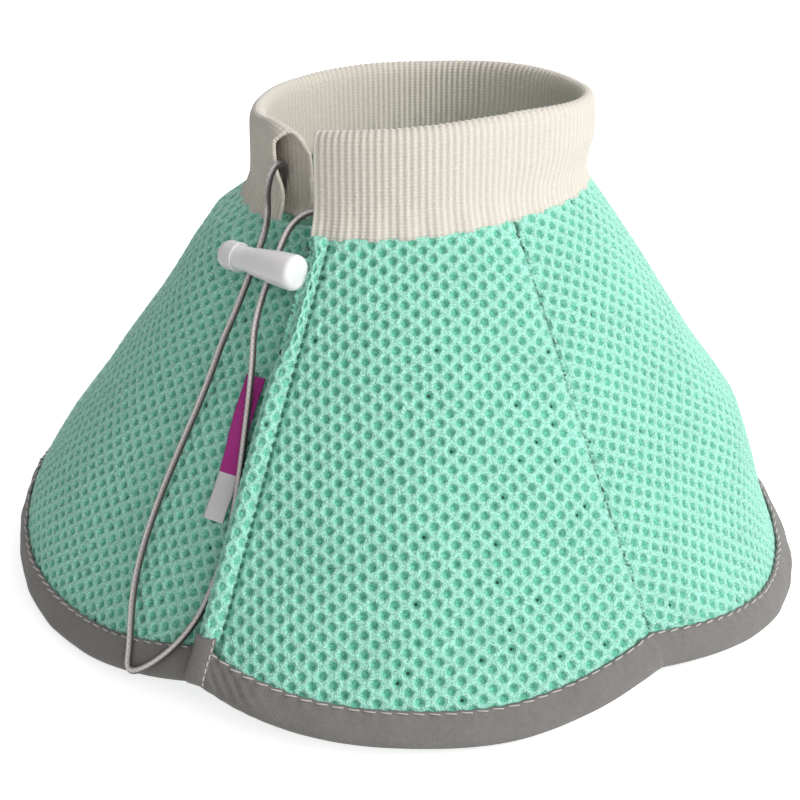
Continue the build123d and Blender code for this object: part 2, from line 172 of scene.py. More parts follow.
class ConeColours(bpy.types.PropertyGroup):
    """Colours of the cloths, cord and plastic, with the shade and highlights painted on the mesh, knit and
    cord.
    """

    mesh_thread: colour("Mesh thread", "Raised threads of the mesh", (0.40, 0.88, 0.71))
    # Mesh deep: partly the lower layer's own green, partly painted shade in the openings.
    mesh_deep_shaded: colour("Mesh deep", "Cloth at the bottom of an opening", (0.17, 0.62, 0.44))
    # Mesh through: painted shade; openings are drawn closed, and this dark colour stands for the shaded
    # inside seen through them.
    mesh_through_shade: colour("Mesh through", "A see-through opening", (0.004, 0.06, 0.038))
    knit: colour("Knit", "Rib-knit band", (0.74, 0.69, 0.61))
    # Knit deep: painted shade in the rib knit's grooves.
    knit_groove_shade: colour("Knit deep", "Grooves of the rib knit", (0.66, 0.61, 0.53))
    binding: colour("Binding", "Hem binding", (0.185, 0.175, 0.165))
    thread: colour("Thread", "Pale sewing thread", (0.60, 0.54, 0.52))
    # Cord light is the painted highlight on the cord's outward side; cord dark is the painted shade on its
    # other sides.
    cord_lit_side: colour("Cord light", "Light side of the cord", (0.74, 0.68, 0.67))
    cord_shaded_side: colour("Cord dark", "Dark side of the cord", (0.045, 0.038, 0.036))
    label: colour("Label", "Coloured part of the label", (0.42, 0.012, 0.24))
    plastic: colour("Plastic", "Cord lock", (0.90, 0.87, 0.89))


class StageSizes(bpy.types.PropertyGroup):
    """Camera and lamps."""

    distance: length("Distance", "Camera from the cone's axis, level", 0.3738)
    camera_height: length("Camera height", "Camera above the floor", 0.2141)
    camera_turn: FloatProperty(name="Camera turn", description="Where it stands", default=-3.9)
    camera_tilt: FloatProperty(name="Camera tilt", description="Degrees below level", default=25.2)
    lens: FloatProperty(name="Lens", description="Focal length in millimetres", default=59.5)
    key_power: FloatProperty(name="Key power", description="Main lamp, watts", default=9.5)
    fill_power: FloatProperty(name="Fill power", description="Soft front lamp, watts", default=5.5)
    back_power: FloatProperty(name="Back power", description="Soft lamp behind, watts", default=7.0)
    sky: FloatProperty(name="Sky", description="Strength of the soft light", default=0.29)


def group(name):
    """One of the scene's property groups."""
    return getattr(bpy.context.scene, name)


# ---------------------------------------------------------------- the cone's own shape


def flap_shift():
    """Step from the cone's axis to the lifted flap's own: round towards its free edge, and forward
    so that the band's inner walls meet at the hinge."""
    lift, inner = group("cone_sizes").flap_lift, group("band_sizes").inner_radius
    forward = inner - math.sqrt(inner**2 - lift**2)
    return heading(HINGE_TURN - 90) * lift + heading(HINGE_TURN) * forward


def ring_centre():
    """Foot of the cone's axis."""
    return np.array([0, -flap_shift()[1] / 2, 0])


def heading(turn):
    """Level unit vectors that point outwards at turns."""
    angle = np.radians(np.asarray(turn, float))
    return np.stack([np.sin(angle), -np.cos(angle), np.zeros_like(angle)], -1)


def flap_centre():
    """Foot of the lifted flap's own axis."""
    return ring_centre() + flap_shift()


def slopes():
    """How far a step down the slant goes out, and down."""
    angle = group("cone_sizes").half_angle
    return math.sin(angle), math.cos(angle)


# How far each side bellies, in parts of the belly's size, at heights up to the neck seam
LEFT_BELLY = (
    [0, 0.04, 0.10, 0.17, 0.24, 0.32, 0.39, 0.46, 0.6, 0.69, 0.76, 0.85, 0.94, 1.0],
    [0.4, 0.5, 1.2, 1.65, 1.8, 1.8, 1.55, 1.25, 1.08, 1.08, 1.25, 1.55, 1.5, 0.0],
)
RIGHT_BELLY = (
    [0, 0.04, 0.10, 0.17, 0.24, 0.31, 0.38, 0.45, 0.52, 0.6, 0.68, 0.76, 0.87, 0.97, 1.0],
    [-0.6, -1.0, -1.05, -0.4, 0.5, 1.3, 1.9, 1.8, 1.5, 1.25, 1.0, 0.75, 0.3, 0.0, 0.0],
)


def settle(places):
    """Soft cloth leans and bellies: the neck tips to one side, and the cone's sides swell."""
    cone = group("cone_sizes")
    x, y, z = places[..., 0], places[..., 1], places[..., 2]
    neck = soft_step(z, 0.055, 0.108)
    reach = np.hypot(x, y)
    side = soft_step(np.abs(x) / reach, 0.78, 0.99)
    level = np.clip(z / SEAM_HEIGHT, 0, 1)
    left, right = np.interp(level, *LEFT_BELLY), np.interp(level, *RIGHT_BELLY)
    swell = cone.belly * side * np.where(x < 0, left, right) / reach
    corner = np.clip((x - 0.5 * y) / (1.118 * reach), 0, 1)
    toe = -0.0062 * soft_step(corner, 0.82, 0.99) * (1 - soft_step(level, 0.03, 0.36))
    lean = 1.3 * soft_step(x, 0.012, 0.045) * soft_step(z, SEAM_HEIGHT, SEAM_HEIGHT + 0.014)
    shift = neck * soft_step(y, -0.046, -0.006) + lean
    moved = places.copy()
    moved[..., 0] += x * swell + cone.neck_shift * shift
    moved[..., 1] += y * swell + toe
    moved[..., 2] += cone.neck_tilt * x * neck
    return moved


def on_cone(turn, drop, rise, centre):
    """Places at turns, drops and rises."""
    out, down = slopes()
    turn, drop, rise = np.broadcast_arrays(*(np.asarray(x, float) for x in (turn, drop, rise)))
    reach = group("cone_sizes").neck_radius + drop * out + rise * down
    places = centre + heading(turn) * reach[..., None]
    places[..., 2] += SEAM_HEIGHT - drop * down + rise * out
    return settle(places)


def soft_step(value, low, high):
    """0 below low, 1 above high and smooth between."""
    share = np.clip((np.asarray(value, float) - low) / (high - low), 0, 1)
    return share * share * (3 - 2 * share)


def closure_line(step=0.0):
    """The closure line: its turn and its distance round from the axis, moved round by a step."""
    cone = group("cone_sizes")
    return CLOSURE_TURN - math.degrees(cone.closure_slant), cone.closure_step + step


def line_turn(line, drop, centre):
    """Turns at which a straight cut line crosses the cone at drops."""
    base, aside = line
    out, _ = slopes()
    reach = group("cone_sizes").neck_radius + np.asarray(drop, float) * out
    aside = aside - (centre - ring_centre()) @ heading(base + 90)
    return base + np.degrees(np.arcsin(aside / reach))


def lobe_reach(places, middle, centre):
    """Distance from the middle of a panel's round hem cut, seen square to the panel."""
    cone = group("cone_sizes")
    out, down = slopes()
    across = heading(middle + 90)
    up = np.array([0, 0, down]) - heading(middle) * out
    offset = places - on_cone(middle, 0, 0, centre)
    return np.hypot(offset @ across, offset @ up - cone.lobe_radius + cone.panel_drop)


def hem_drop(turn, rise, reach, middle, centre):
    """Drops at which a panel's cloth is a given reach from the middle of its hem cut."""
    low = np.zeros(np.broadcast(turn, rise, reach).shape)
    high = np.full_like(low, 1.5 * group("cone_sizes").panel_drop)
    for _ in range(36):
        drop = (low + high) / 2
        inside = lobe_reach(on_cone(turn, drop, rise, centre), middle, centre) < reach
        low, high = np.where(inside, drop, low), np.where(inside, high, drop)
    if middle in HEM_TRIMS:
        low = low - np.interp(turn, *HEM_TRIMS[middle])
    return low


def ripple(along, across, size):
    """Gentle uneven swell of soft cloth, from -1 to 1."""
    waves = [(1.0, 0.3, 0.0, 0.5), (-0.6, 1.1, 1.7, 0.3), (1.9, -0.8, 4.1, 0.2)]
    return sum(
        share * np.sin((a * along + b * across) * 2 * math.pi / size + start)
        for a, b, start, share in waves
    )


# ---------------------------------------------------------------- meshes and objects


def mesh_from(name, places, faces, flat=None):
    """Mesh of four-sided faces, with flat cloth places in its own UV map."""
    mesh = bpy.data.meshes.new(name)
    mesh.vertices.add(len(places))
    mesh.vertices.foreach_set("co", np.asarray(places, np.float32).ravel())
    mesh.loops.add(faces.size)
    mesh.loops.foreach_set("vertex_index", faces.astype(np.int32).ravel())
    mesh.polygons.add(len(faces))
    mesh.polygons.foreach_set("loop_start", np.arange(0, faces.size, 4, dtype=np.int32))
    mesh.update(calc_edges=True)
    if flat is not None:
        layer = mesh.uv_layers.new(name="cloth")
        layer.data.foreach_set("uv", np.asarray(flat, np.float32)[faces.ravel()].ravel())
    mesh.shade_smooth()
    mesh.validate()
    return mesh


def grid_mesh(name, places, flat=None, closed=False):
    """Mesh over rows and columns of places; closed joins the last row to the first."""
    rows, columns = places.shape[:2]
    index = np.arange(rows * columns).reshape(rows, columns)
    if closed:
        index = np.concatenate([index, index[:1]])
    corners = [index[:-1, :-1], index[:-1, 1:], index[1:, 1:], index[1:, :-1]]
    faces = np.stack(corners, -1).reshape(-1, 4)
    return mesh_from(
        name, places.reshape(-1, 3), faces, None if flat is None else flat.reshape(-1, 2)
    )


def mark(mesh, name, values):
    """Stores one number for each vertex."""
    mesh.attributes.new(name, "FLOAT", "POINT").data.foreach_set(
        "value", np.asarray(values, np.float32).ravel()
    )


def place_object(name, data, material=None):
    """Links an object that holds finished data."""
    obj = bpy.data.objects.new(name, data)
    bpy.context.scene.collection.objects.link(obj)
    if material is not None:
        data.materials.clear()
        data.materials.append(material)
    return obj


def discard(obj):
    """Removes a working object."""
    bpy.data.objects.remove(obj, do_unlink=True)


def freeze(obj):
    """Applies an object's modifiers to its mesh."""
    depsgraph = bpy.context.evaluated_depsgraph_get()
    finished = bpy.data.meshes.new_from_object(
        obj.evaluated_get(depsgraph), preserve_all_data_layers=True, depsgraph=depsgraph
    )
    obj.modifiers.clear()
    obj.data = finished
    return obj


def thicken(obj, thickness, offset=0.0):
    """Gives a sheet two faces and a closed edge."""
    wall = obj.modifiers.new("wall", "SOLIDIFY")
    wall.thickness = thickness
    wall.offset = offset
    wall.use_even_offset = False
    return freeze(obj)


def places_of(mesh):
    """A mesh's vertices as an array."""
    places = np.zeros(len(mesh.vertices) * 3, np.float32)
    mesh.vertices.foreach_get("co", places)
    return places.reshape(-1, 3).astype(float)


def move_to(mesh, places):
    """Puts a mesh's vertices at new places."""
    mesh.vertices.foreach_set("co", np.asarray(places, np.float32).ravel())
    mesh.update()


# ---------------------------------------------------------------- geometry node trees


def sockets_of(tree):
    """Identifiers of a tree's inputs, by name."""
    return {
        item.name: item.identifier
        for item in tree.interface.items_tree
        if item.item_type == "SOCKET" and item.in_out == "INPUT"
    }


def new_tree(name, inputs):
    """Geometry node tree with named inputs and one geometry through it."""
    tree = bpy.data.node_groups.new(name, "GeometryNodeTree")
    tree.interface.new_socket("Geometry", in_out="INPUT", socket_type="NodeSocketGeometry")
    for label, kind in inputs:
        tree.interface.new_socket(label, in_out="INPUT", socket_type=f"NodeSocket{kind}")
    tree.interface.new_socket("Geometry", in_out="OUTPUT", socket_type="NodeSocketGeometry")
    return tree


def run_tree(obj, tree, values):
    """Runs a tree on an object and keeps the mesh that comes out."""
    modifier = obj.modifiers.new(tree.name, "NODES")
    modifier.node_group = tree
    names = sockets_of(tree)
    for label, value in values.items():
        modifier[names[label]] = value
    return freeze(obj)


def openings_tree():
    """A knitted opening on every point, welded into one cloth."""
    name = "Cloth Openings"
    if name in bpy.data.node_groups:
        return bpy.data.node_groups[name]
    inputs = [("Opening", "Object"), ("Seed", "Int"), ("Weld", "Float"), ("Cloth", "Material")]
    tree = new_tree(name, inputs)
    nodes, links = tree.nodes, tree.links
    start, end = nodes.new("NodeGroupInput"), nodes.new("NodeGroupOutput")
    info = nodes.new("GeometryNodeObjectInfo")
    copies = nodes.new("GeometryNodeInstanceOnPoints")
    chance = nodes.new("FunctionNodeRandomValue")
    chance.data_type = "FLOAT"
    keep = nodes.new("GeometryNodeStoreNamedAttribute")
    keep.data_type = "FLOAT"
    keep.domain = "INSTANCE"
    keep.inputs["Name"].default_value = "through"
    real = nodes.new("GeometryNodeRealizeInstances")
    weld = nodes.new("GeometryNodeMergeByDistance")
    paint = nodes.new("GeometryNodeSetMaterial")
    links.new(start.outputs["Opening"], info.inputs["Object"])
    links.new(start.outputs["Geometry"], copies.inputs["Points"])
    links.new(info.outputs["Geometry"], copies.inputs["Instance"])
    links.new(start.outputs["Seed"], chance.inputs["Seed"])
    links.new(copies.outputs["Instances"], keep.inputs["Geometry"])
    links.new(chance.outputs[1], keep.inputs["Value"])
    links.new(keep.outputs["Geometry"], real.inputs["Geometry"])
    links.new(real.outputs["Geometry"], weld.inputs["Geometry"])
    links.new(start.outputs["Weld"], weld.inputs["Distance"])
    links.new(weld.outputs["Geometry"], paint.inputs["Geometry"])
    links.new(start.outputs["Cloth"], paint.inputs["Material"])
    links.new(paint.outputs["Geometry"], end.inputs["Geometry"])
    return tree


def stitches_tree():
    """A small piece on every point, lying along its "along" and standing on its "up"."""
    name = "Stitches"
    if name in bpy.data.node_groups:
        return bpy.data.node_groups[name]
    tree = new_tree(name, [("Stitch", "Object"), ("Size", "Float"), ("Thread", "Material")])
    nodes, links = tree.nodes, tree.links
    start, end = nodes.new("NodeGroupInput"), nodes.new("NodeGroupOutput")
    info = nodes.new("GeometryNodeObjectInfo")
    turned = None
    for label, axis, pivot in (("along", "X", "AUTO"), ("up", "Z", "X")):
        stored = nodes.new("GeometryNodeInputNamedAttribute")
        stored.data_type = "FLOAT_VECTOR"
        stored.inputs["Name"].default_value = label
        aim = nodes.new("FunctionNodeAlignRotationToVector")
        aim.axis = axis
        aim.pivot_axis = pivot
        links.new(stored.outputs["Attribute"], aim.inputs["Vector"])
        if turned is not None:
            links.new(turned, aim.inputs["Rotation"])
        turned = aim.outputs["Rotation"]
    copies = nodes.new("GeometryNodeInstanceOnPoints")
    real = nodes.new("GeometryNodeRealizeInstances")
    paint = nodes.new("GeometryNodeSetMaterial")
    links.new(start.outputs["Stitch"], info.inputs["Object"])
    links.new(start.outputs["Geometry"], copies.inputs["Points"])
    links.new(info.outputs["Geometry"], copies.inputs["Instance"])
    links.new(turned, copies.inputs["Rotation"])
    links.new(start.outputs["Size"], copies.inputs["Scale"])
    links.new(copies.outputs["Instances"], real.inputs["Geometry"])
    links.new(real.outputs["Geometry"], paint.inputs["Geometry"])
    links.new(start.outputs["Thread"], paint.inputs["Material"])
    links.new(paint.outputs["Geometry"], end.inputs["Geometry"])
    return tree


def ribs_tree():
    """Raises the rib knit's ribs along each point's own normal."""
    name = "Knit Ribs"
    if name in bpy.data.node_groups:
        return bpy.data.node_groups[name]
    tree = new_tree(name, [("Pitch", "Float"), ("Height", "Float")])
    nodes, links = tree.nodes, tree.links
    start, end = nodes.new("NodeGroupInput"), nodes.new("NodeGroupOutput")
    around = nodes.new("GeometryNodeInputNamedAttribute")
    around.data_type = "FLOAT"
    around.inputs["Name"].default_value = "around"
    turns = nodes.new("ShaderNodeMath")
    turns.operation = "DIVIDE"
    angle = nodes.new("ShaderNodeMath")
    angle.operation = "MULTIPLY"
    angle.inputs[1].default_value = 2 * math.pi
    wave = nodes.new("ShaderNodeMath")
    wave.operation = "COSINE"
    height = nodes.new("ShaderNodeMath")
    height.operation = "MULTIPLY"
    normal = nodes.new("GeometryNodeInputNormal")
    shift = nodes.new("ShaderNodeVectorMath")
    shift.operation = "SCALE"
    move = nodes.new("GeometryNodeSetPosition")
    links.new(around.outputs["Attribute"], turns.inputs[0])
    links.new(start.outputs["Pitch"], turns.inputs[1])
    links.new(turns.outputs[0], angle.inputs[0])
    links.new(angle.outputs[0], wave.inputs[0])
    links.new(wave.outputs[0], height.inputs[0])
    links.new(start.outputs["Height"], height.inputs[1])
    links.new(normal.outputs["Normal"], shift.inputs[0])
    links.new(height.outputs[0], shift.inputs["Scale"])
    links.new(start.outputs["Geometry"], move.inputs["Geometry"])
    links.new(shift.outputs["Vector"], move.inputs["Offset"])
    links.new(move.outputs["Geometry"], end.inputs["Geometry"])
    return tree


# ---------------------------------------------------------------- shader groups and materials


def effect(name, inputs, outputs):
    """Empty shader group with named inputs and outputs, and whether it was there already."""
    if name in bpy.data.node_groups:
        return bpy.data.node_groups[name], False
    tree = bpy.data.node_groups.new(name, "ShaderNodeTree")
    for label, kind, default in inputs:
        socket = tree.interface.new_socket(label, in_out="INPUT", socket_type=f"NodeSocket{kind}")
        if default is not None:
            socket.default_value = default
    for label, kind in outputs:
        tree.interface.new_socket(label, in_out="OUTPUT", socket_type=f"NodeSocket{kind}")
    return tree, True


def step(tree, operation, *values, clamp=False):
    """Adds one sum to a shader tree; values are sockets or numbers."""
    node = tree.nodes.new("ShaderNodeMath")
    node.operation = operation
    node.use_clamp = clamp
    for socket, value in zip(node.inputs, values):
        if isinstance(value, (int, float)):
            socket.default_value = value
        else:
            tree.links.new(value, socket)
    return node.outputs[0]


def noise(tree, vector, scale, detail=3.0):
    """Adds a noise to a shader tree."""
    node = tree.nodes.new("ShaderNodeTexNoise")
    node.inputs["Scale"].default_value = scale
    node.inputs["Detail"].default_value = detail
    tree.links.new(vector, node.inputs["Vector"])
    return node.outputs["Fac"]


def fuzz_group():
    """Fibre tone and fibre height over a cloth's surface."""
    tree, fresh = effect(
        "Fibre Fuzz",
        [("Vector", "Vector", None), ("Fibres", "Float", 1400.0)],
        [("Tone", "Float"), ("Height", "Float")],
    )
    if not fresh:
        return tree
    start, end = tree.nodes.new("NodeGroupInput"), tree.nodes.new("NodeGroupOutput")
    fine = tree.nodes.new("ShaderNodeTexNoise")
    fine.inputs["Detail"].default_value = 4.0
    tree.links.new(start.outputs["Vector"], fine.inputs["Vector"])
    tree.links.new(start.outputs["Fibres"], fine.inputs["Scale"])
    broad = noise(tree, start.outputs["Vector"], 60.0, 2.0)
    tone = step(tree, "MULTIPLY_ADD", fine.outputs["Fac"], 0.9, step(tree, "MULTIPLY", broad, 0.1))
    tree.links.new(tone, end.inputs["Tone"])
    tree.links.new(fine.outputs["Fac"], end.inputs["Height"])
    return tree


def weave_group():
    """Crossing threads of a woven tape, from its flat cloth places."""
    tree, fresh = effect(
        "Plain Weave",
        [("Flat", "Vector", None), ("Threads", "Float", 2200.0)],
        [("Tone", "Float"), ("Height", "Float")],
    )
    if not fresh:
        return tree
    start, end = tree.nodes.new("NodeGroupInput"), tree.nodes.new("NodeGroupOutput")
    split = tree.nodes.new("ShaderNodeSeparateXYZ")
    tree.links.new(start.outputs["Flat"], split.inputs[0])
    u = step(tree, "MULTIPLY", split.outputs["X"], start.outputs["Threads"])
    v = step(tree, "MULTIPLY", split.outputs["Y"], start.outputs["Threads"])
    warp = step(tree, "ABSOLUTE", step(tree, "SINE", step(tree, "MULTIPLY", u, math.pi)))
    weft = step(tree, "ABSOLUTE", step(tree, "SINE", step(tree, "MULTIPLY", v, math.pi)))
    cells = step(tree, "ADD", step(tree, "FLOOR", u), step(tree, "FLOOR", v))
    odd = step(tree, "GREATER_THAN", step(tree, "FRACT", step(tree, "MULTIPLY", cells, 0.5)), 0.25)
    over = step(tree, "MULTIPLY", warp, odd)
    under = step(tree, "MULTIPLY", weft, step(tree, "SUBTRACT", 1.0, odd))
    height = step(tree, "ADD", over, under)
    tree.links.new(height, end.inputs["Height"])
    tree.links.new(step(tree, "MULTIPLY_ADD", height, 0.5, 0.5), end.inputs["Tone"])
    return tree


class Finish:
    """One material while it is built: its tree, its shader and what feeds them."""

    def __init__(self, name, roughness, **sockets):
        self.material = bpy.data.materials.new(name)
        self.material.use_nodes = True
        self.tree = self.material.node_tree
        self.shader = self.tree.nodes["Principled BSDF"]
        self.shader.inputs["Roughness"].default_value = roughness
        for label, value in sockets.items():
            self.shader.inputs[label.replace("_", " ")].default_value = value
        self.spots = self.tree.nodes.new("ShaderNodeTexCoord").outputs["Object"]

    def flat(self):
        """The piece's own flat cloth places."""
        node = self.tree.nodes.new("ShaderNodeUVMap")
        node.uv_map = "cloth"
        return node.outputs["UV"]

    def marked(self, name):
        """A number stored on the piece's vertices."""
        node = self.tree.nodes.new("ShaderNodeAttribute")
        node.attribute_name = name
        return node.outputs["Fac"]

    def use(self, tree, **inputs):
        """Places a shader group."""
        node = self.tree.nodes.new("ShaderNodeGroup")
        node.node_tree = tree
        for label, value in inputs.items():
            if isinstance(value, (int, float)):
                node.inputs[label].default_value = value
            else:
                self.tree.links.new(value, node.inputs[label])
        return node.outputs

    def mix(self, share, first, second):
        """Mixes two colours, each a socket or three numbers."""
        node = self.tree.nodes.new("ShaderNodeMix")
        node.data_type = "RGBA"
        self.tree.links.new(share, node.inputs["Factor"])
        for socket, value in zip((node.inputs[6], node.inputs[7]), (first, second)):
            if isinstance(value, bpy.types.NodeSocket):
                self.tree.links.new(value, socket)
            else:
                socket.default_value = (*value, 1)
        return node.outputs[2]

    def shade(self, colour_socket, tone, low, high):
        """Darkens and lightens a colour by a tone."""
        node = self.tree.nodes.new("ShaderNodeVectorMath")
        node.operation = "SCALE"
        self.tree.links.new(colour_socket, node.inputs[0])
        span = step(self.tree, "MULTIPLY_ADD", tone, high - low, low)
        self.tree.links.new(span, node.inputs["Scale"])
        return node.outputs["Vector"]

    def paint(self, colour_socket):
        """Feeds the base colour."""
        self.tree.links.new(colour_socket, self.shader.inputs["Base Color"])

    def bump(self, height, distance, strength=1.0):
        """Feeds the normal from a height in metres."""
        node = self.tree.nodes.new("ShaderNodeBump")
        node.inputs["Distance"].default_value = distance
        node.inputs["Strength"].default_value = strength
        self.tree.links.new(height, node.inputs["Height"])
        self.tree.links.new(node.outputs["Normal"], self.shader.inputs["Normal"])


def constant(finish, value):
    """Three numbers as a colour socket that a tone can vary."""
    node = finish.tree.nodes.new("ShaderNodeRGB")
    node.outputs[0].default_value = (*value, 1)
    return node.outputs[0]


def mesh_cloth():
    """Knitted spacer mesh: pale raised threads over deep openings, with painted shade towards each opening's
    floor, painted glints on the threads, painted shade spots in some floors, and a few openings painted dark
    as if seen through to the shaded inside.
    """
    colours = group("cone_colours")
    finish = Finish("Spacer Mesh", 0.5, Sheen_Weight=0.15, Sheen_Roughness=0.5)
    tree = finish.tree
    fuzz = finish.use(fuzz_group(), Vector=finish.spots, Fibres=1900.0)
    strands = noise(tree, finish.spots, 3100.0, 1.0)
    depth = finish.marked("depth")
    chance = finish.marked("through")
    core = finish.marked("core")
    # Rare openings are painted dark as the shaded inside seen through them; some others get a painted shade
    # spot in their floor.
    rare, inside = step(tree, "GREATER_THAN", chance, 0.965), step(tree, "GREATER_THAN", core, 0.42)
    dark_hole_shade = step(tree, "MULTIPLY", rare, inside)
    # Painted shade spot in the floor of some openings, around the off-centre middle vertex.
    shade_spot = step(tree, "MULTIPLY", step(tree, "GREATER_THAN", chance, 0.86), core)
    # Painted glint: pale highlight streaks on the raised threads, from a fine noise.
    painted_glint = step(tree, "MULTIPLY_ADD", strands, 9.0, -5.2, clamp=True)
    painted_glint = step(tree, "MULTIPLY", painted_glint, step(tree, "SUBTRACT", 1.0, depth, clamp=True))
    # Painted shade: the thread colour darkens towards each opening's floor, partly the lower layer's own
    # green.
    base = finish.mix(depth, colours.mesh_thread, colours.mesh_deep_shaded)
    base = finish.shade(base, fuzz["Tone"], 0.05, 1.95)
    # Adds the painted glint's pale highlight colour.
    base = finish.mix(step(tree, "MULTIPLY", painted_glint, 0.55), base, (0.80, 1.0, 0.93))
    # Adds the painted shade spot, then the painted dark of the see-through openings.
    base = finish.mix(step(tree, "MULTIPLY", shade_spot, 0.55), base, colours.mesh_through_shade)
    # Paints the see-through openings dark as shade.
    finish.paint(finish.mix(dark_hole_shade, base, colours.mesh_through_shade))
    height = step(tree, "MULTIPLY_ADD", fuzz["Height"], 0.6, step(tree, "MULTIPLY", strands, 0.4))
    finish.bump(height, 0.0011, 0.9)
    return finish.material


def knit_cloth():
    """Cream rib knit, with painted shade in its grooves."""
    colours = group("cone_colours")
    finish = Finish("Rib Knit", 0.85, Sheen_Weight=0.3, Sheen_Roughness=0.6)
    fuzz = finish.use(fuzz_group(), Vector=finish.spots, Fibres=1500.0)
    split = finish.tree.nodes.new("ShaderNodeSeparateXYZ")
    finish.tree.links.new(finish.flat(), split.inputs[0])
    pitch = group("band_sizes").rib_pitch
    ribs = step(finish.tree, "MULTIPLY", split.outputs["X"], 2 * math.pi / pitch)
    crest = step(finish.tree, "MULTIPLY_ADD", step(finish.tree, "COSINE", ribs), 0.5, 0.5)
    slope = step(finish.tree, "ABSOLUTE", step(finish.tree, "SINE", step(finish.tree, "MULTIPLY", ribs, 0.5)))
    skew = step(finish.tree, "MULTIPLY", slope, 1.2)
    rows = step(finish.tree, "MULTIPLY_ADD", split.outputs["Y"], 2 * math.pi / 0.0009, skew)
    loops = step(finish.tree, "MULTIPLY_ADD", step(finish.tree, "SINE", rows), 0.5, 0.5)
    # Painted shade: the grooves between the ribs take the darker knit colour.
    base = finish.mix(crest, colours.knit_groove_shade, colours.knit)
    finish.paint(finish.shade(base, fuzz["Tone"], 0.86, 1.12))
    height = step(finish.tree, "MULTIPLY_ADD", loops, 0.3, step(finish.tree, "MULTIPLY", fuzz["Height"], 0.6))
    finish.bump(height, 0.00025, 0.9)
    return finish.material


def woven_tape(name, base, threads, roughness=0.7, bump=0.00012):
    """Flat woven tape."""
    finish = Finish(name, roughness, Sheen_Weight=0.1)
    fuzz = finish.use(fuzz_group(), Vector=finish.spots, Fibres=900.0)
    weave = finish.use(weave_group(), Flat=finish.flat(), Threads=threads)
    fluff = step(finish.tree, "MULTIPLY", fuzz["Tone"], 0.55)
    tone = step(finish.tree, "MULTIPLY_ADD", weave["Tone"], 0.45, fluff)
    finish.paint(finish.shade(constant(finish, base), tone, 0.62, 1.42))
    finish.bump(weave["Height"], bump, 0.8)
    return finish.material


def sewing_thread(name, base):
    """Twisted thread."""
    finish = Finish(name, 0.55)
    fuzz = finish.use(fuzz_group(), Vector=finish.spots, Fibres=5200.0)
    finish.paint(finish.shade(constant(finish, base), fuzz["Tone"], 0.7, 1.3))
    finish.bump(fuzz["Height"], 0.0001, 0.7)
    return finish.material


def cord_cover():
    """Braided elastic cord, with a painted highlight on its side that faces out from the cone and painted
    shade on its other sides.
    """
    colours = group("cone_colours")
    finish = Finish("Elastic Cord", 0.42, Sheen_Weight=0.1)
    split = finish.tree.nodes.new("ShaderNodeSeparateXYZ")
    finish.tree.links.new(finish.flat(), split.inputs[0])
    along = step(finish.tree, "MULTIPLY", split.outputs["X"], 2 * math.pi / 0.0016)
    twist = step(finish.tree, "MULTIPLY", split.outputs["Y"], 4 * 2 * math.pi)
    one = step(finish.tree, "SINE", step(finish.tree, "ADD", along, twist))
    two = step(finish.tree, "SINE", step(finish.tree, "SUBTRACT", along, twist))
    braid = step(finish.tree, "MAXIMUM", one, two)
    # Painted highlight and shade: the side facing out from the cone takes the light colour, the rest the dark
    # one.
    light = finish.mix(finish.marked("light"), colours.cord_shaded_side, colours.cord_lit_side)
    finish.paint(finish.shade(light, step(finish.tree, "MULTIPLY_ADD", braid, 0.5, 0.5), 0.8, 1.12))
    finish.bump(braid, 0.00006, 0.6)
    return finish.material


def held_cord_cover():
    """The same cord where the band holds it."""
    colours = group("cone_colours")
    finish = Finish("Held Cord", 0.5)
    fuzz = finish.use(fuzz_group(), Vector=finish.spots, Fibres=1800.0)
    # Its plain colour is the cord's lit-side colour at about half strength.
    finish.paint(finish.shade(constant(finish, colours.cord_lit_side), fuzz["Tone"], 0.3, 0.7))
    finish.bump(fuzz["Height"], 0.0001, 0.6)
    return finish.material


def lock_plastic():
    """Moulded milky plastic."""
    finish = Finish("Milky Plastic", 0.28, Subsurface_Weight=0.35, Subsurface_Scale=0.004, IOR=1.5)
    finish.shader.inputs["Subsurface Radius"].default_value = (1.0, 0.95, 0.95)
    haze = noise(finish.tree, finish.spots, 180.0, 2.0)
    finish.paint(finish.shade(constant(finish, group("cone_colours").plastic), haze, 0.94, 1.06))
    finish.bump(noise(finish.tree, finish.spots, 900.0, 2.0), 0.00004, 0.25)
    return finish.material


def spring_metal():
    """Drawn spring wire."""
    finish = Finish("Spring Wire", 0.3, Metallic=1.0)
    scratch = noise(finish.tree, finish.spots, 1600.0, 3.0)
    finish.paint(finish.shade(constant(finish, (0.62, 0.62, 0.64)), scratch, 0.8, 1.2))
    finish.bump(scratch, 0.00003, 0.4)
    return finish.material


def label_cloth():
    """Woven label, coloured with a pale end."""
    colours = group("cone_colours")
    finish = Finish("Woven Label", 0.6)
    flat = finish.flat()
    split = finish.tree.nodes.new("ShaderNodeSeparateXYZ")
    finish.tree.links.new(flat, split.inputs[0])
    weave = finish.use(weave_group(), Flat=flat, Threads=3400.0)
    pale = step(finish.tree, "GREATER_THAN", split.outputs["X"], 0.68 * group("trim_sizes").label_length)
    base = finish.mix(pale, colours.label, (0.72, 0.70, 0.72))
    finish.paint(finish.shade(base, weave["Tone"], 0.7, 1.2))
    finish.bump(weave["Height"], 0.0001, 0.7)
    return finish.material


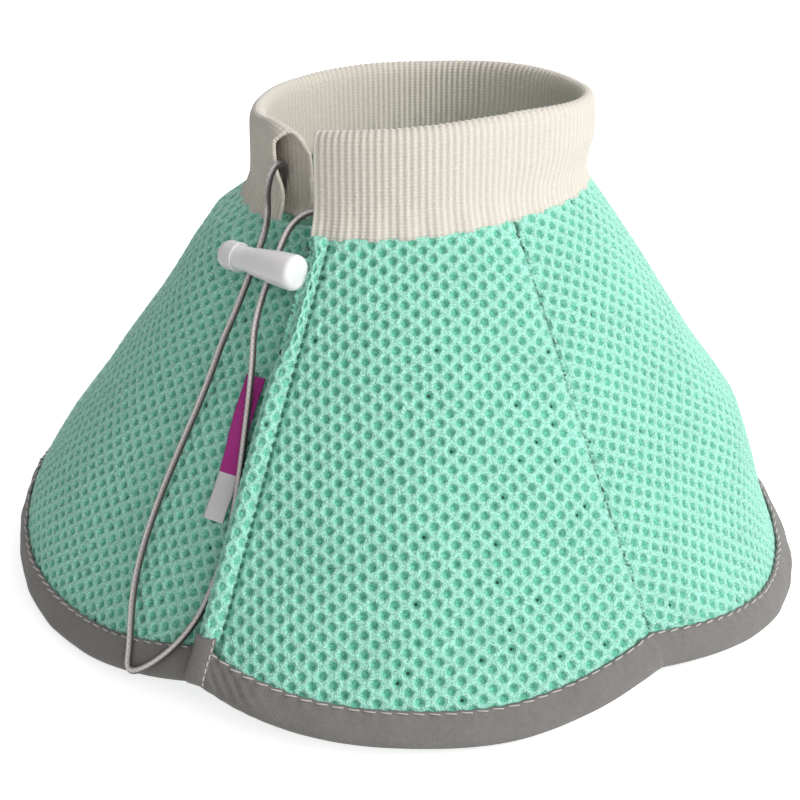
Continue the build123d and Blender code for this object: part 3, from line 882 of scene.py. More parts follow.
FINISHES = {
    "Spacer Mesh": mesh_cloth,
    "Rib Knit": knit_cloth,
    "Hem Binding": lambda: woven_tape("Hem Binding", group("cone_colours").binding, 2600.0),
    "Seam Tape": lambda: woven_tape("Seam Tape", (0.30, 0.66, 0.52), 1900.0, 0.75, 0.0002),
    "Lining Cloth": lambda: woven_tape("Lining Cloth", (0.27, 0.62, 0.48), 2400.0, 0.75, 0.00015),
    "Closure Tape": lambda: woven_tape("Closure Tape", (0.33, 0.66, 0.54), 1500.0, 0.8, 0.0003),
    "Pale Thread": lambda: sewing_thread("Pale Thread", group("cone_colours").thread),
    "Mint Thread": lambda: sewing_thread("Mint Thread", group("cone_colours").mesh_thread),
    # Groove thread: dark stitches stand for the painted shade in the stitch holes of the flap's groove.
    "Groove Thread": lambda: sewing_thread("Groove Thread", (0.015, 0.15, 0.09)),
    "Hook Thread": lambda: sewing_thread("Hook Thread", (0.36, 0.7, 0.57)),
    "Elastic Cord": cord_cover,
    "Held Cord": held_cord_cover,
    "Milky Plastic": lock_plastic,
    "Spring Wire": spring_metal,
    "Woven Label": label_cloth,
}


def finish_named(name):
    """A finish, made the first time it is asked for."""
    return bpy.data.materials.get(name) or FINISHES[name]()


# ---------------------------------------------------------------- mesh panels


def opening_cell():
    """One knitted opening of the spacer mesh, both faces, lying flat about its own middle."""
    cloth = group("cloth_sizes")
    half, row, thick = cloth.pitch / 2, cloth.row, group("cone_sizes").cloth_thickness
    side = (half**2 + row**2) / (2 * half)
    top = (half**2 - row**2) / (2 * half)
    corners = [(side, 0), (top, row), (-top, row), (-side, 0), (-top, -row), (top, -row)]
    rim = []
    for index, (first, second) in enumerate(zip(corners, corners[1:] + corners[:1])):
        cuts = 1 if index in (1, 4) else 3
        for cut in range(cuts):
            share = cut / cuts
            x, y = (a + (b - a) * share for a, b in zip(first, second))
            rim.append((x, y, 0.00035 if cut == 0 else 0.0))
    count = len(rim)
    places, faces, depths, layers, cores = [], [], [], [], []

    def ring(radius, height, depth, layer):
        for x, y, dip in rim:
            if radius is None:
                places.append((x, y, height - dip * (1 - 2 * layer)))
                # Corner dimples count as deeper, so the finish paints shade in them too.
                depths.append(depth + dip * 500)
            else:
                away = math.hypot(x, y)
                places.append((x / away * radius, y / away * radius, height))
                depths.append(depth)
            layers.append(layer)
            cores.append(0)

    def skin(steps, layer):
        first = len(places)
        for radius, height, depth in steps:
            ring(radius, height, depth, layer)
        # The middle vertex sits off-centre, so that the painted shade spot of an opening falls to one side.
        places.append((0.00022, -0.00018, steps[-1][1] - 0.0001 * (1 - 2 * layer)))
        depths.append(1)
        layers.append(layer)
        cores.append(1)
        middle = len(places) - 1
        for level in range(len(steps)):
            for spot in range(count):
                here = first + level * count + spot
                after = first + level * count + (spot + 1) % count
                inwards = [here + count, after + count] if level < len(steps) - 1 else [middle]
                corners = [here, after] + inwards[::-1]
                faces.append(corners if layer == 0 else corners[::-1])

    opening, deep = cloth.opening, cloth.depth
    # The last number of each step is its depth share, which the finish turns into painted shade.
    skin(
        [
            (None, 0, 0),
            (opening * 1.08, -0.1 * deep, 0.12),
            (opening * 0.86, -0.52 * deep, 0.65),
            (opening * 0.6, -0.9 * deep, 1),
        ],
        0,
    )
    skin([(None, -thick, 0), (opening * 0.8, 0.5 * deep - thick, 0.9)], 1)
    mesh = bpy.data.meshes.new("opening")
    mesh.from_pydata(places, [], faces)
    mark(mesh, "depth", depths)
    mark(mesh, "layer", layers)
    mark(mesh, "core", cores)
    return place_object("opening", mesh)


def lattice(name, columns, rows, keep, seed, material="Spacer Mesh"):
    """Flat spacer mesh over the staggered spots that keep() accepts."""
    cloth = group("cloth_sizes")
    j, i = np.meshgrid(np.arange(*rows), np.arange(*columns), indexing="ij")
    spots = np.stack([(i + (j % 2) / 2) * cloth.pitch, -j * cloth.row, 0.0 * i], -1).reshape(-1, 3)
    spots = spots[keep(spots)]
    points = bpy.data.meshes.new(name)
    points.from_pydata(spots.tolist(), [], [])
    obj = place_object(name, points)
    cell = opening_cell()
    values = {
        "Opening": cell,
        "Seed": cloth.seed + seed,
        "Weld": 0.00004,
        "Cloth": finish_named(material),
    }
    run_tree(obj, openings_tree(), values)
    discard(cell)
    return obj


def weld(obj, distance=0.00003):
    """Merges a mesh's touching vertices."""
    shape = bmesh.new()
    shape.from_mesh(obj.data)
    bmesh.ops.remove_doubles(shape, verts=shape.verts, dist=distance)
    bmesh.ops.dissolve_degenerate(shape, dist=distance / 10, edges=shape.edges)
    shape.to_mesh(obj.data)
    shape.free()
    obj.data.shade_smooth()
    return obj


def read_mark(mesh, name):
    """A stored number of each vertex."""
    values = np.zeros(len(mesh.vertices), np.float32)
    mesh.attributes[name].data.foreach_get("value", values)
    return values.astype(float)


def side_lines(name):
    """Turns of a panel's left and right edges at drops, and the centre it is cut round."""
    middle = PANEL_MIDDLES[name]
    half = PANEL_TURN / 2
    if name == "panel_front":
        centre = flap_centre()
        left = lambda drop: line_turn(closure_line(), drop, centre)
        right = lambda drop: line_turn((HINGE_TURN, 0), drop, centre)
    else:
        centre = ring_centre()
        left = lambda drop: np.full_like(drop, middle - half)
        if name == "panel_left":
            right = lambda drop: 360 + line_turn(closure_line(0.0062), drop, centre)
        else:
            right = lambda drop: np.full_like(drop, middle + half)
    return left, right, centre


def hem_table(middle, rise, reach, centre):
    """Function from turns to the drop of a panel's hem."""
    turns = middle + np.linspace(-52, 52, 209)
    drops = hem_drop(turns, rise, reach, middle, centre)
    return lambda turn: np.interp(turn, turns, drops)


def make_panel(name):
    """One petal of spacer mesh, pressed at its seams, hem and neck."""
    cone, cloth = group("cone_sizes"), group("cloth_sizes")
    middle = PANEL_MIDDLES[name]
    left, right, centre = side_lines(name)
    out, _ = slopes()
    apex = cone.neck_radius / out
    thick = cone.cloth_thickness
    is_flap = name == "panel_front"
    hem = hem_table(middle, -thick / 2, cone.lobe_radius - 0.0004, centre)

    def unroll(flat):
        turn = middle + np.degrees(np.arctan2(flat[:, 0], -flat[:, 1]) / out)
        return turn, np.hypot(flat[:, 0], flat[:, 1]) - apex

    def keep(flat):
        turn, drop = unroll(flat)
        spare = 0.0024
        turn_spare = np.degrees(spare / (cone.neck_radius + np.maximum(drop, 0) * out))
        inside = (turn > left(drop) - turn_spare) & (turn < right(drop) + turn_spare)
        return inside & (drop > -spare) & (drop < hem(turn) + spare)

    first = int((apex - 0.01) / cloth.row)
    last = int((apex + cone.panel_drop + 0.012) / cloth.row)
    obj = lattice(name + "_cloth", (-16, 17), (first, last), keep, middle)
    mesh = obj.data
    flat = places_of(mesh)
    layer = read_mark(mesh, "layer")
    turn, drop = unroll(flat)
    drop = np.clip(drop, 0, hem(turn))
    reach = cone.neck_radius + drop * out
    near = np.radians(turn - left(drop)) * reach
    far = np.radians(right(drop) - turn) * reach

    def snap(side):
        side = np.where(side < 0.00045, 0, side)
        return np.where((side > 0) & (side < 0.0018), 0.0011, side)

    near, far = snap(near), snap(far)
    from_left = near < far
    turn = np.where(
        from_left, left(drop) + np.degrees(near / reach), right(drop) - np.degrees(far / reach)
    )
    drop = np.minimum(drop, hem(turn))
    drop = np.where(drop < 0.0005, 0, drop)
    above_hem = hem(turn) - drop
    above_hem = np.where(above_hem < 0.0004, 0, above_hem)

    flat_near = 0.0028 if not is_flap else 0.0075
    relief = soft_step(near, 0.0008 if not is_flap else 0.0058, flat_near)
    relief = relief * soft_step(far, 0.0008, cone.seam_flat + 0.0006)
    relief = relief * soft_step(drop, 0.0006, 0.003)
    relief = relief * soft_step(above_hem, 0.0072, 0.0098)
    swell = 0.00035 * ripple(flat[:, 0] + 0.3 * middle, flat[:, 1], 0.06)
    swell = swell * soft_step(np.minimum(near, far), 0.001, 0.02) * soft_step(above_hem, 0.007, 0.02)
    pressed = 0.0004 * (1 - soft_step(above_hem, 0.0076, 0.0095))
    rise_out = np.where(layer < 0.5, relief * flat[:, 2], 0) + swell - pressed
    if is_flap:
        rise_out = rise_out - 0.0013 * (1 - soft_step(near, 0.0052, 0.0072))
    rise_in = -thick + np.where(layer > 0.5, relief * (flat[:, 2] + thick), 0) + swell
    rise = np.where(layer < 0.5, rise_out, rise_in)

    def pull(side, width):
        return np.clip(1 - side / width, 0, 1) ** 1.6

    pulls = [
        (pull(near, cone.seam_groove), -cone.seam_pinch),
        (pull(far, cone.seam_groove), -cone.seam_pinch),
        (pull(drop, 0.0012), -thick / 2),
        (pull(above_hem, 0.0012), -thick / 2),
    ]
    total = sum(share for share, _ in pulls)
    edge = sum(share * at for share, at in pulls) / np.maximum(total, 1e-9)
    slack = np.prod([1 - share for share, _ in pulls], axis=0)
    rise = rise * slack + edge * (1 - slack)
    move_to(mesh, on_cone(turn, drop, rise, centre))
    weld(obj)
    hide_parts(name)
    if is_flap:
        blend_flap(obj)
    else:
        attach(obj, "cone")
    return obj


def blend_flap(obj):
    """Bakes a flap piece's placement into its mesh."""
    foot = ring_centre() + heading(HINGE_TURN) * group("cone_sizes").neck_radius
    foot[2] = SEAM_HEIGHT
    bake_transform(obj)
    return obj


# ---------------------------------------------------------------- strips that follow the cone


def profile_curve(points, count):
    """Smooth line through a section's points, at even steps along it."""
    points = np.asarray(points, float)
    closed = np.allclose(points[0], points[-1])
    ends = (points[-2], points[1]) if closed else (2 * points[0] - points[1], 2 * points[-1] - points[-2])
    padded = np.vstack([ends[0], points, ends[1]])
    fine = []
    for a, b, c, d in zip(padded, padded[1:], padded[2:], padded[3:]):
        t = np.linspace(0, 1, 16, endpoint=False)[:, None]
        fine.append(
            0.5 * (2 * b + (c - a) * t + (2 * a - 5 * b + 4 * c - d) * t**2 + (3 * b - 3 * c + d - a) * t**3)
        )
    fine = np.vstack(fine + [points[-1:]])
    steps = np.concatenate([[0], np.cumsum(np.linalg.norm(np.diff(fine, axis=0), axis=1))])
    even = np.linspace(0, steps[-1], count)
    return np.stack([np.interp(even, steps, fine[:, axis]) for axis in range(fine.shape[1])], -1), even


def soften(values, times):
    """Averages each value of a row with its neighbours."""
    values = np.array(values, float)
    for _ in range(times):
        values[..., 1:-1] = (values[..., :-2] + 2 * values[..., 1:-1] + values[..., 2:]) / 4
    return values


def add_stitches(name, places, along, up, thread, length, thickness, body, sink=0.35):
    """Stitches at places, each lying along one direction and arched towards another."""
    points = bpy.data.meshes.new(name)
    points.from_pydata(np.asarray(places).tolist(), [], [])
    for label, vectors in (("along", along), ("up", up)):
        store = points.attributes.new(label, "FLOAT_VECTOR", "POINT")
        store.data.foreach_set("vector", np.asarray(vectors, np.float32).ravel())
    obj = place_object(name, points)
    stitch = stitch_shape(length, thickness, sink)
    run_tree(obj, stitches_tree(), {"Stitch": stitch, "Size": 1.0, "Thread": finish_named(thread)})
    discard(stitch)
    obj.data.shade_smooth()
    if body == "flap":
        blend_flap(obj)
    else:
        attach(obj, body)
    return obj


def stitch_shape(length, thickness, sink):
    """One stitch: a short thread whose ends dive into the cloth."""
    half = [(-0.5, 0.35, -1), (-0.42, 0.9, -0.45), (-0.15, 1, 0.1)]
    stations = half + [(-share, wide, dive) for share, wide, dive in half[::-1]]
    places, faces, sides = [], [], 6
    for share, wide, dive in stations:
        for side in range(sides):
            angle = 2 * math.pi * side / sides
            y, z = (math.cos(angle) * wide, math.sin(angle) * wide)
            height = z * thickness / 2 + dive * sink * thickness
            places.append((share * length, y * thickness / 2, height))
    for level in range(len(stations) - 1):
        for side in range(sides):
            a, b = level * sides + side, level * sides + (side + 1) % sides
            faces.append((a, b, b + sides, a + sides))
    faces.append(tuple(range(sides))[::-1])
    faces.append(tuple(range((len(stations) - 1) * sides, len(stations) * sides)))
    mesh = bpy.data.meshes.new("stitch")
    mesh.from_pydata(places, [], faces)
    mesh.validate()
    shape = bmesh.new()
    shape.from_mesh(mesh)
    bmesh.ops.recalc_face_normals(shape, faces=shape.faces)
    shape.to_mesh(mesh)
    shape.free()
    return place_object("stitch", mesh)


def even_spots(places, pitch, offset=0.5):
    """Spots at even steps along a line of places, with the line's direction at each."""
    steps = np.concatenate([[0], np.cumsum(np.linalg.norm(np.diff(places, axis=0), axis=1))])
    at = np.arange(offset * pitch, steps[-1], pitch)
    spots = np.stack([np.interp(at, steps, places[:, axis]) for axis in range(3)], -1)
    ahead = np.stack([np.interp(at + 0.0004, steps, places[:, axis]) for axis in range(3)], -1)
    back = np.stack([np.interp(at - 0.0004, steps, places[:, axis]) for axis in range(3)], -1)
    along = ahead - back
    return spots, along / np.linalg.norm(along, axis=1, keepdims=True)


def outwards_at(places, centre=None):
    """The cone's outward directions at places."""
    out, down = slopes()
    offset = np.asarray(places) - (ring_centre() if centre is None else centre)
    level = offset[:, :2] / np.linalg.norm(offset[:, :2], axis=1, keepdims=True)
    return np.column_stack([level * down, np.full(len(level), out)])


def section_strip(name, columns, rows, place, thickness, material):
    """Sheet over columns along a line and rows across it, given its wall; place() maps both."""
    across, along = np.meshgrid(rows, columns)
    places = place(along, across)
    flat = np.stack([along, across], -1)
    mesh = grid_mesh(name, places, flat)
    obj = place_object(name, mesh, finish_named(material))
    if thickness:
        thicken(obj, thickness, -1)
    return obj


# ---------------------------------------------------------------- flap facing


FACING_SECTION = [
    (5.6, -2.0), (5.35, -1.1), (4.9, 0.3), (3.8, 1.45), (2.3, 1.9), (0.8, 1.5), (-0.3, 0.5),
    (-0.8, -0.9), (-0.7, -2.2), (-0.1, -3.2), (1.0, -3.6), (3.0, -3.7), (4.8, -3.5),
    (5.5, -2.7), (5.6, -2.0),
]  # distance from the closure line and rise, in millimetres


def make_facing():
    """Spacer mesh turned over the flap's free edge, sewn down in a groove."""
    cone, cloth = group("cone_sizes"), group("cloth_sizes")
    centre = flap_centre()
    section, steps = profile_curve(np.array(FACING_SECTION) / 1000, 120)
    around = steps[-1]
    count = round(around / cloth.pitch)
    stretch = around / (count * cloth.pitch)
    hem = hem_table(0, -0.0015, cone.lobe_radius - 0.0035, centre)
    low = float(hem(line_turn(closure_line(), np.array(cone.panel_drop * 0.92), centre))) - 0.0058

    def keep(flat):
        return (flat[:, 1] < 0.001) & (flat[:, 1] > -low - 0.001)

    rows = (0, int(low / cloth.row) + 1)
    obj = lattice("flap_edge", (0, count), rows, keep, 3)
    mesh = obj.data
    flat = places_of(mesh)
    layer = read_mark(mesh, "layer")
    spare = layer > 0.5
    drop = np.clip(-flat[:, 1], 0.0002, low)
    run = np.mod(-flat[:, 0] * stretch, around)
    aside = np.interp(run, steps, section[:, 0])
    rise = np.interp(run, steps, section[:, 1])
    ahead = np.mod(run + 0.0003, around)
    slope_aside = np.interp(ahead, steps, section[:, 0]) - aside
    slope_rise = np.interp(ahead, steps, section[:, 1]) - rise
    size = np.hypot(slope_aside, slope_rise) + 1e-9
    height = np.where(spare, -0.0007, flat[:, 2])
    ends = soft_step(drop, 0.0, 0.0015) * soft_step(low - drop, 0, 0.0015)
    height = height * ends
    aside = aside + slope_rise / size * height
    rise = rise - slope_aside / size * height
    puff = 1 + 0.12 * ripple(drop, run, 0.021)
    rise = np.where(rise > -1e-4, rise * puff, rise)
    dent = soft_step(drop, 0.001, 0.006) * (1 - soft_step(drop, 0.024, 0.040))
    aside = aside + dent * 0.0021 * (1 - soft_step(aside, 0.0005, 0.005))
    rise = rise - dent * 0.0011 * soft_step(rise, -0.001, 0.0008)
    aside = 0.0022 + (aside - 0.0022) * np.where(ends < 1, 0.6 + 0.4 * ends, 1)
    rise = -0.0012 + (rise + 0.0012) * (0.15 + 0.85 * ends)
    base, step_aside = closure_line()
    reach = cone.neck_radius + drop * slopes()[0]
    middle = (centre - ring_centre()) @ heading(base + 90)
    turn = base + np.degrees(np.arcsin((step_aside + aside - middle) / reach))
    move_to(mesh, on_cone(turn, drop, rise, centre))
    weld(obj)
    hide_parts("flap_facing")
    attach(obj, "flap")

    # The groove's stitches use the dark groove thread, painted shade in the stitch holes.
    line = np.linspace(0.002, low - 0.001, 400)
    turns = line_turn(closure_line(0.0057), line, centre)
    groove = on_cone(turns, line, -0.0008, centre)
    spots, along = even_spots(groove, 0.0026)
    seam = add_stitches(
        "flap_edge_stitches", spots, along, outwards_at(spots, centre),
        "Groove Thread", 0.0014, 0.0008, "flap",
    )
    return obj


# ---------------------------------------------------------------- neck band

BAND_SECTION = [
    (49.75, -1.5), (49.5, -0.4), (48.9, 1.2), (48.2, 3.0), (47.6, 5.6), (47.35, 9.0), (47.25, 14.0),
    (47.15, 19.0), (46.9, 21.6), (46.1, 23.2), (44.85, 23.8), (43.6, 23.2), (42.75, 21.6),
    (42.45, 19.0), (42.4, 13.0), (42.4, 6.0), (42.5, 2.0), (43.2, 0.0), (44.6, -0.9),
]  # reach and height above the neck seam, in millimetres


def band_place(section, turn, row, centre, foot_wave=0.0):
    """Places on the band's section at turns; row counts the section's points."""
    reach = np.interp(row, np.arange(len(section)), section[:, 0])
    height = np.interp(row, np.arange(len(section)), section[:, 1])
    low = np.clip(1 - height / 0.009, 0, 1)
    reach = reach + foot_wave * low * np.sin(np.radians(turn) * 37 + 0.6)
    lift = np.clip(height / 0.0238, 0, 1) ** 2
    facing = np.cos(np.radians(turn - 8))
    stands = np.where(facing > 0, 0.0023 * facing, 0.0008 * facing**2)
    wave = ripple(np.radians(turn) * 0.05, 0, 0.09)
    height = height + lift * (stands + 0.0006 * wave)
    reach = reach + 0.0006 * lift * ripple(np.radians(turn) * 0.05, 0.02, 0.13)
    places = centre + heading(turn) * reach[..., None]
    places[..., 2] += SEAM_HEIGHT + height
    return settle(places)


def make_band():
    """The folded rib-knit band: its front with the flap's part, and its back with the open end."""
    band = group("band_sizes")
    section, _ = profile_curve(np.array(BAND_SECTION) / 1000, 44)
    rows = np.arange(len(section), dtype=float)
    share = rows / rows[-1]
    ring, flap = ring_centre(), flap_centre()
    column = band.rib_pitch / 6 / band.outer_radius
    seam = line_turn((HINGE_TURN, 0), BAND_DROP, flap)

    def build(name, turn, centre, around, stop):
        places = band_place(section, turn, np.broadcast_to(rows, turn.shape), centre, 0.00025)
        places = bend_mouth(places, turn, stop, share)
        flat = np.stack([around, np.broadcast_to(share * 0.055, turn.shape)], -1)
        mesh = grid_mesh(name, places[:, ::-1], flat[:, ::-1])
        mark(mesh, "around", around[:, ::-1])
        return place_object(name, mesh, finish_named("Rib Knit"))

    # front: from the closure to the hinge on the flap's centre, then on round the ring
    free = line_turn(closure_line(0.0002), BAND_DROP, flap)
    flap_turns = np.linspace(float(free), float(seam), int(math.radians(seam - free) / column))
    ring_turns = np.linspace(HINGE_TURN, JOIN_TURN, int(math.radians(JOIN_TURN - HINGE_TURN) / column))[1:]
    flap_run = np.radians(flap_turns - seam) * band.outer_radius
    ring_run = np.radians(ring_turns - HINGE_TURN) * band.outer_radius
    sheets = []
    for turns, run, centre in ((flap_turns, flap_run, flap), (ring_turns, ring_run, ring)):
        turn = np.repeat(turns[:, None], len(rows), 1)
        sheets.append((turn, np.repeat(run[:, None], len(rows), 1), centre))
    places = np.concatenate(
        [band_place(section, t, np.broadcast_to(rows, t.shape), c, 0.00025) for t, _, c in sheets]
    )
    joint = len(flap_turns)
    for _ in range(12):
        near = places[joint - 9 : joint + 9]
        places[joint - 8 : joint + 8] = (near[:-2] + 2 * near[1:-1] + near[2:]) / 4
    around = np.concatenate([run for _, run, _ in sheets])
    flat = np.stack([around, np.broadcast_to(share * 0.055, around.shape)], -1)
    mesh = grid_mesh("band_front", places[:, ::-1], flat[:, ::-1])
    mark(mesh, "around", around[:, ::-1])
    front = place_object("band_front", mesh, finish_named("Rib Knit"))

    # back: on round to the open end, where each row stops at its own turn
    stop = mouth_turns(share)
    share_along = np.linspace(0, 1, int(math.radians(310 - JOIN_TURN) / column))[:, None]
    turn = JOIN_TURN + (stop[None, :] - JOIN_TURN) * share_along
    run = np.radians(turn - HINGE_TURN) * band.outer_radius
    back = build("band_back", turn, ring, run, stop)

    for obj in (front, back):
        run_tree(obj, ribs_tree(), {"Pitch": band.rib_pitch, "Height": band.rib_height})
        thicken(obj, band.knit, -1)
        obj.data.shade_smooth()
        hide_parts("neck_band")
    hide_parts("neck_band_flap", "neck_band_fold")
    blend_flap(front)
    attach(back, "cone")


def mouth_turns(share):
    """Turn at which each row of the band's section ends at the open end."""
    points = [
        (0, -50.5), (0.2, -51), (0.32, -52.5), (0.42, -53),
        (0.5, -48.5), (0.58, -45), (0.66, -43.3), (1, -42.3),
    ]
    at, turns = zip(*points)
    return 360 + soften(np.interp(share, at, turns), 2)


def bend_mouth(places, turn, stop, share):
    """Opens the band's end: its fold droops, and its outer lip stands away from its inner wall."""
    near = np.clip(1 - np.radians(stop - turn) * 0.045 / 0.011, 0, 1) ** 1.6
    fold = np.clip(1 - np.abs(share - 0.5) / 0.22, 0, 1)
    lip = soft_step(share, 0.12, 0.3) * (1 - soft_step(share, 0.42, 0.5))
    wall = soft_step(share, 0.55, 0.66) * (1 - soft_step(share, 0.86, 1.0))
    out = heading(turn)
    out[..., 2] = 0
    push = near * (0.0017 * lip - 0.0012 * wall)
    moved = places + out * push[..., None]
    moved[..., 2] -= 0.0024 * near * fold**0.7
    return moved


# ---------------------------------------------------------------- hem binding

HEM_SECTION = [
    (8.5, 0.15), (8.3, 0.55), (7.2, 0.72), (5.5, 0.85), (3.5, 0.85), (1.6, 0.7), (0.4, 0.3),
    (-0.3, -0.5), (-0.5, -1.5), (-0.3, -2.5), (0.5, -3.3), (1.8, -3.7), (4.0, -3.8), (7.0, -3.6),
    (8.5, -3.3),
]  # height above the hem line and rise, in millimetres


def hem_columns(name, rows, step_size=0.001):
    """Turns, drops and flat lengths of the binding along one panel's hem, a row for each height."""
    cone = group("cone_sizes")
    middle = PANEL_MIDDLES[name]
    left, right, centre = side_lines(name)
    low_drop = np.array(cone.panel_drop * 0.96)
    start, end = float(left(low_drop)), float(right(low_drop))
    if name == "panel_front":
        start = float(line_turn(closure_line(-0.0004), low_drop, centre))
    reach = cone.neck_radius + cone.panel_drop * slopes()[0]
    count = int(math.radians(end - start) * reach / step_size)
    turns = np.linspace(start, end, count)
    drops = []
    for height, rise in rows:
        drops.append(hem_drop(turns, rise, cone.lobe_radius - height, middle, centre))
    return turns, np.array(drops).T, centre, middle


def make_binding():
    """Grey tape folded over the scalloped hem, and its stitches."""
    trim = group("trim_sizes")
    section, _ = profile_curve(np.array(HEM_SECTION) / 1000, 26)
    for name, panels in (
        ("binding_front", ["panel_front", "panel_right", "panel_back_right"]),
        ("binding_back", ["panel_back_left", "panel_left_rear", "panel_left"]),
    ):
        turn_parts, drop_parts, centre_parts = [], [], []
        for panel in panels:
            turns, drops, centre, _ = hem_columns(panel, section)
            turn_parts.append(turns)
            drop_parts.append(drops)
            centre_parts.append(np.repeat(centre[None], len(turns), 0))
        drops = soften(np.concatenate(drop_parts).T, 10).T
        turns = np.concatenate(turn_parts)[:, None]
        centres = np.concatenate(centre_parts)[:, None, :]
        mid = on_cone(turns[:, 0], drops[:, 0], 0, centres[:, 0])
        run = np.concatenate([[0], np.cumsum(np.linalg.norm(np.diff(mid, axis=0), axis=1))])
        rises = np.repeat(section[None, :, 1], len(turns), 0)
        phase = 2 * math.pi * run[:, None] / trim.stitch_pitch
        top_edge = np.clip(1 - (section[0, 0] - section[None, :, 0]) / 0.004, 0, 1)
        outer = (section[None, :, 1] > -0.001).astype(float)
        pucker = 0.00022 * np.cos(phase) * top_edge
        swell = 0.00028 * ripple(run[:, None], section[None, :, 0] * 2, 0.017)
        rises = rises + (pucker + swell) * (2 * outer - 1)
        if name == "binding_front":
            lean = run[:, None] + 1.1 * section[None, :, 0]
            window = soft_step(run, 0.004, 0.008) * (1 - soft_step(run, 0.014, 0.026))
            rises = rises + 0.0003 * window[:, None] * outer * np.sin(2 * math.pi * lean / 0.0041)
        drops = drops + 0.00012 * np.cos(phase + 0.4) * top_edge
        places = on_cone(turns, drops, rises, centres)
        lengths = np.concatenate([[0], np.cumsum(np.linalg.norm(np.diff(section, axis=0), axis=1))])
        flat = np.stack(
            [np.repeat(run[:, None], len(section), 1), np.repeat(lengths[None], len(run), 0)], -1
        )
        obj = place_object(name, grid_mesh(name, places, flat), finish_named("Hem Binding"))
        thicken(obj, trim.tape, -1)
        obj.data.shade_smooth()
        is_front = name == "binding_front"
        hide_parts(*(["hem_binding", "hem_binding_flap"] if is_front else ["hem_binding"]))
        if is_front:
            blend_flap(obj)
        else:
            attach(obj, "cone")
        row = int(np.argmin(np.abs(section[:, 0] - 0.0079) + (section[:, 1] < 0)))
        lines = {"outer": row, "inner": len(section) - 2}
        for side, at in lines.items():
            spots, along = even_spots(places[:, at], trim.stitch_pitch)
            up = outwards_at(spots) * (1 if side == "outer" else -1)
            threads = add_stitches(
                f"{name}_stitches_{side}", spots + up * 0.00012, along, up,
                "Pale Thread", trim.stitch_length, trim.thread, "flap" if is_front else "cone",
            )


def make_tab():
    """Binding's end folded round the flap's corner, closed with a row of stitches."""
    cone, trim = group("cone_sizes"), group("trim_sizes")
    centre = flap_centre()
    section, _ = profile_curve(
        np.array(
            [
                (4.9, 0.5), (4.6, 1.25), (3.0, 1.6), (1.2, 1.6), (-0.3, 1.2), (-1.15, 0.0),
                (-1.2, -1.6), (-1.1, -3.0), (-0.2, -3.9), (1.5, -4.25), (3.6, -4.2), (4.9, -3.7),
            ]
        )
        / 1000,
        22,
    )
    low_turn = float(line_turn(closure_line(0.002), cone.panel_drop * 0.92, centre))
    low = float(hem_drop(np.array([low_turn]), -0.0015, cone.lobe_radius + 0.0006, 0, centre)[0])
    tall = 0.0124
    drops = np.linspace(low, low - tall, 16)
    share = (low - drops) / tall
    end = np.minimum(soft_step(share, 0, 0.1), 1 - 0.35 * soft_step(share, 0.93, 1))[:, None]
    aside = 0.0018 + (section[None, :, 0] - 0.0018) * (0.93 + 0.07 * end)
    rise = -0.0015 + (section[None, :, 1] + 0.0015) * (0.5 + 0.5 * end)
    rise = rise + 0.00018 * ripple(drops[:, None], section[None, :, 0], 0.008)
    base, step_aside = closure_line()
    reach = cone.neck_radius + drops[:, None] * slopes()[0]
    middle = (centre - ring_centre()) @ heading(base + 90)
    turn = base + np.degrees(np.arcsin((step_aside + aside - middle) / reach))
    places = on_cone(turn, drops[:, None] + 0.0 * turn, rise, centre)
    flat = np.stack(np.broadcast_arrays(section[None, :, 0] * 1.0, drops[:, None]), -1)
    mesh = grid_mesh("binding_tab", places[:, ::-1], flat[:, ::-1])
    obj = place_object("binding_tab", mesh, finish_named("Hem Binding"))
    thicken(obj, trim.tape, -1)
    obj.data.shade_smooth()
    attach(obj, "flap")
    spots, along = even_spots(places[:, 1], 0.0018)
    up = outwards_at(spots, centre)
    seam = add_stitches(
        "binding_tab_stitches_1", spots + up * 0.00012, along, up,
        "Pale Thread", 0.0013, trim.thread, "flap",
    )


# ---------------------------------------------------------------- drawcord and cord lock


def lock_frame():
    """The cord lock's middle, and its directions: along it, up the slant and outwards."""
    lock_length, gap, drop, stand = 0.027, 0.0006, 0.0148, 0.0052
    base, aside = LOCK_LINE
    reach = group("cone_sizes").neck_radius + drop * slopes()[0]
    at_lock = base + math.degrees(math.asin(aside / reach))
    turn = at_lock - math.degrees((lock_length / 2 + gap) / reach)
    out, down = slopes()
    outwards = heading(turn) * down + np.array([0, 0, out])
    along = heading(turn + 90)
    return on_cone(turn, drop, stand, ring_centre()), along, np.cross(outwards, along), outwards


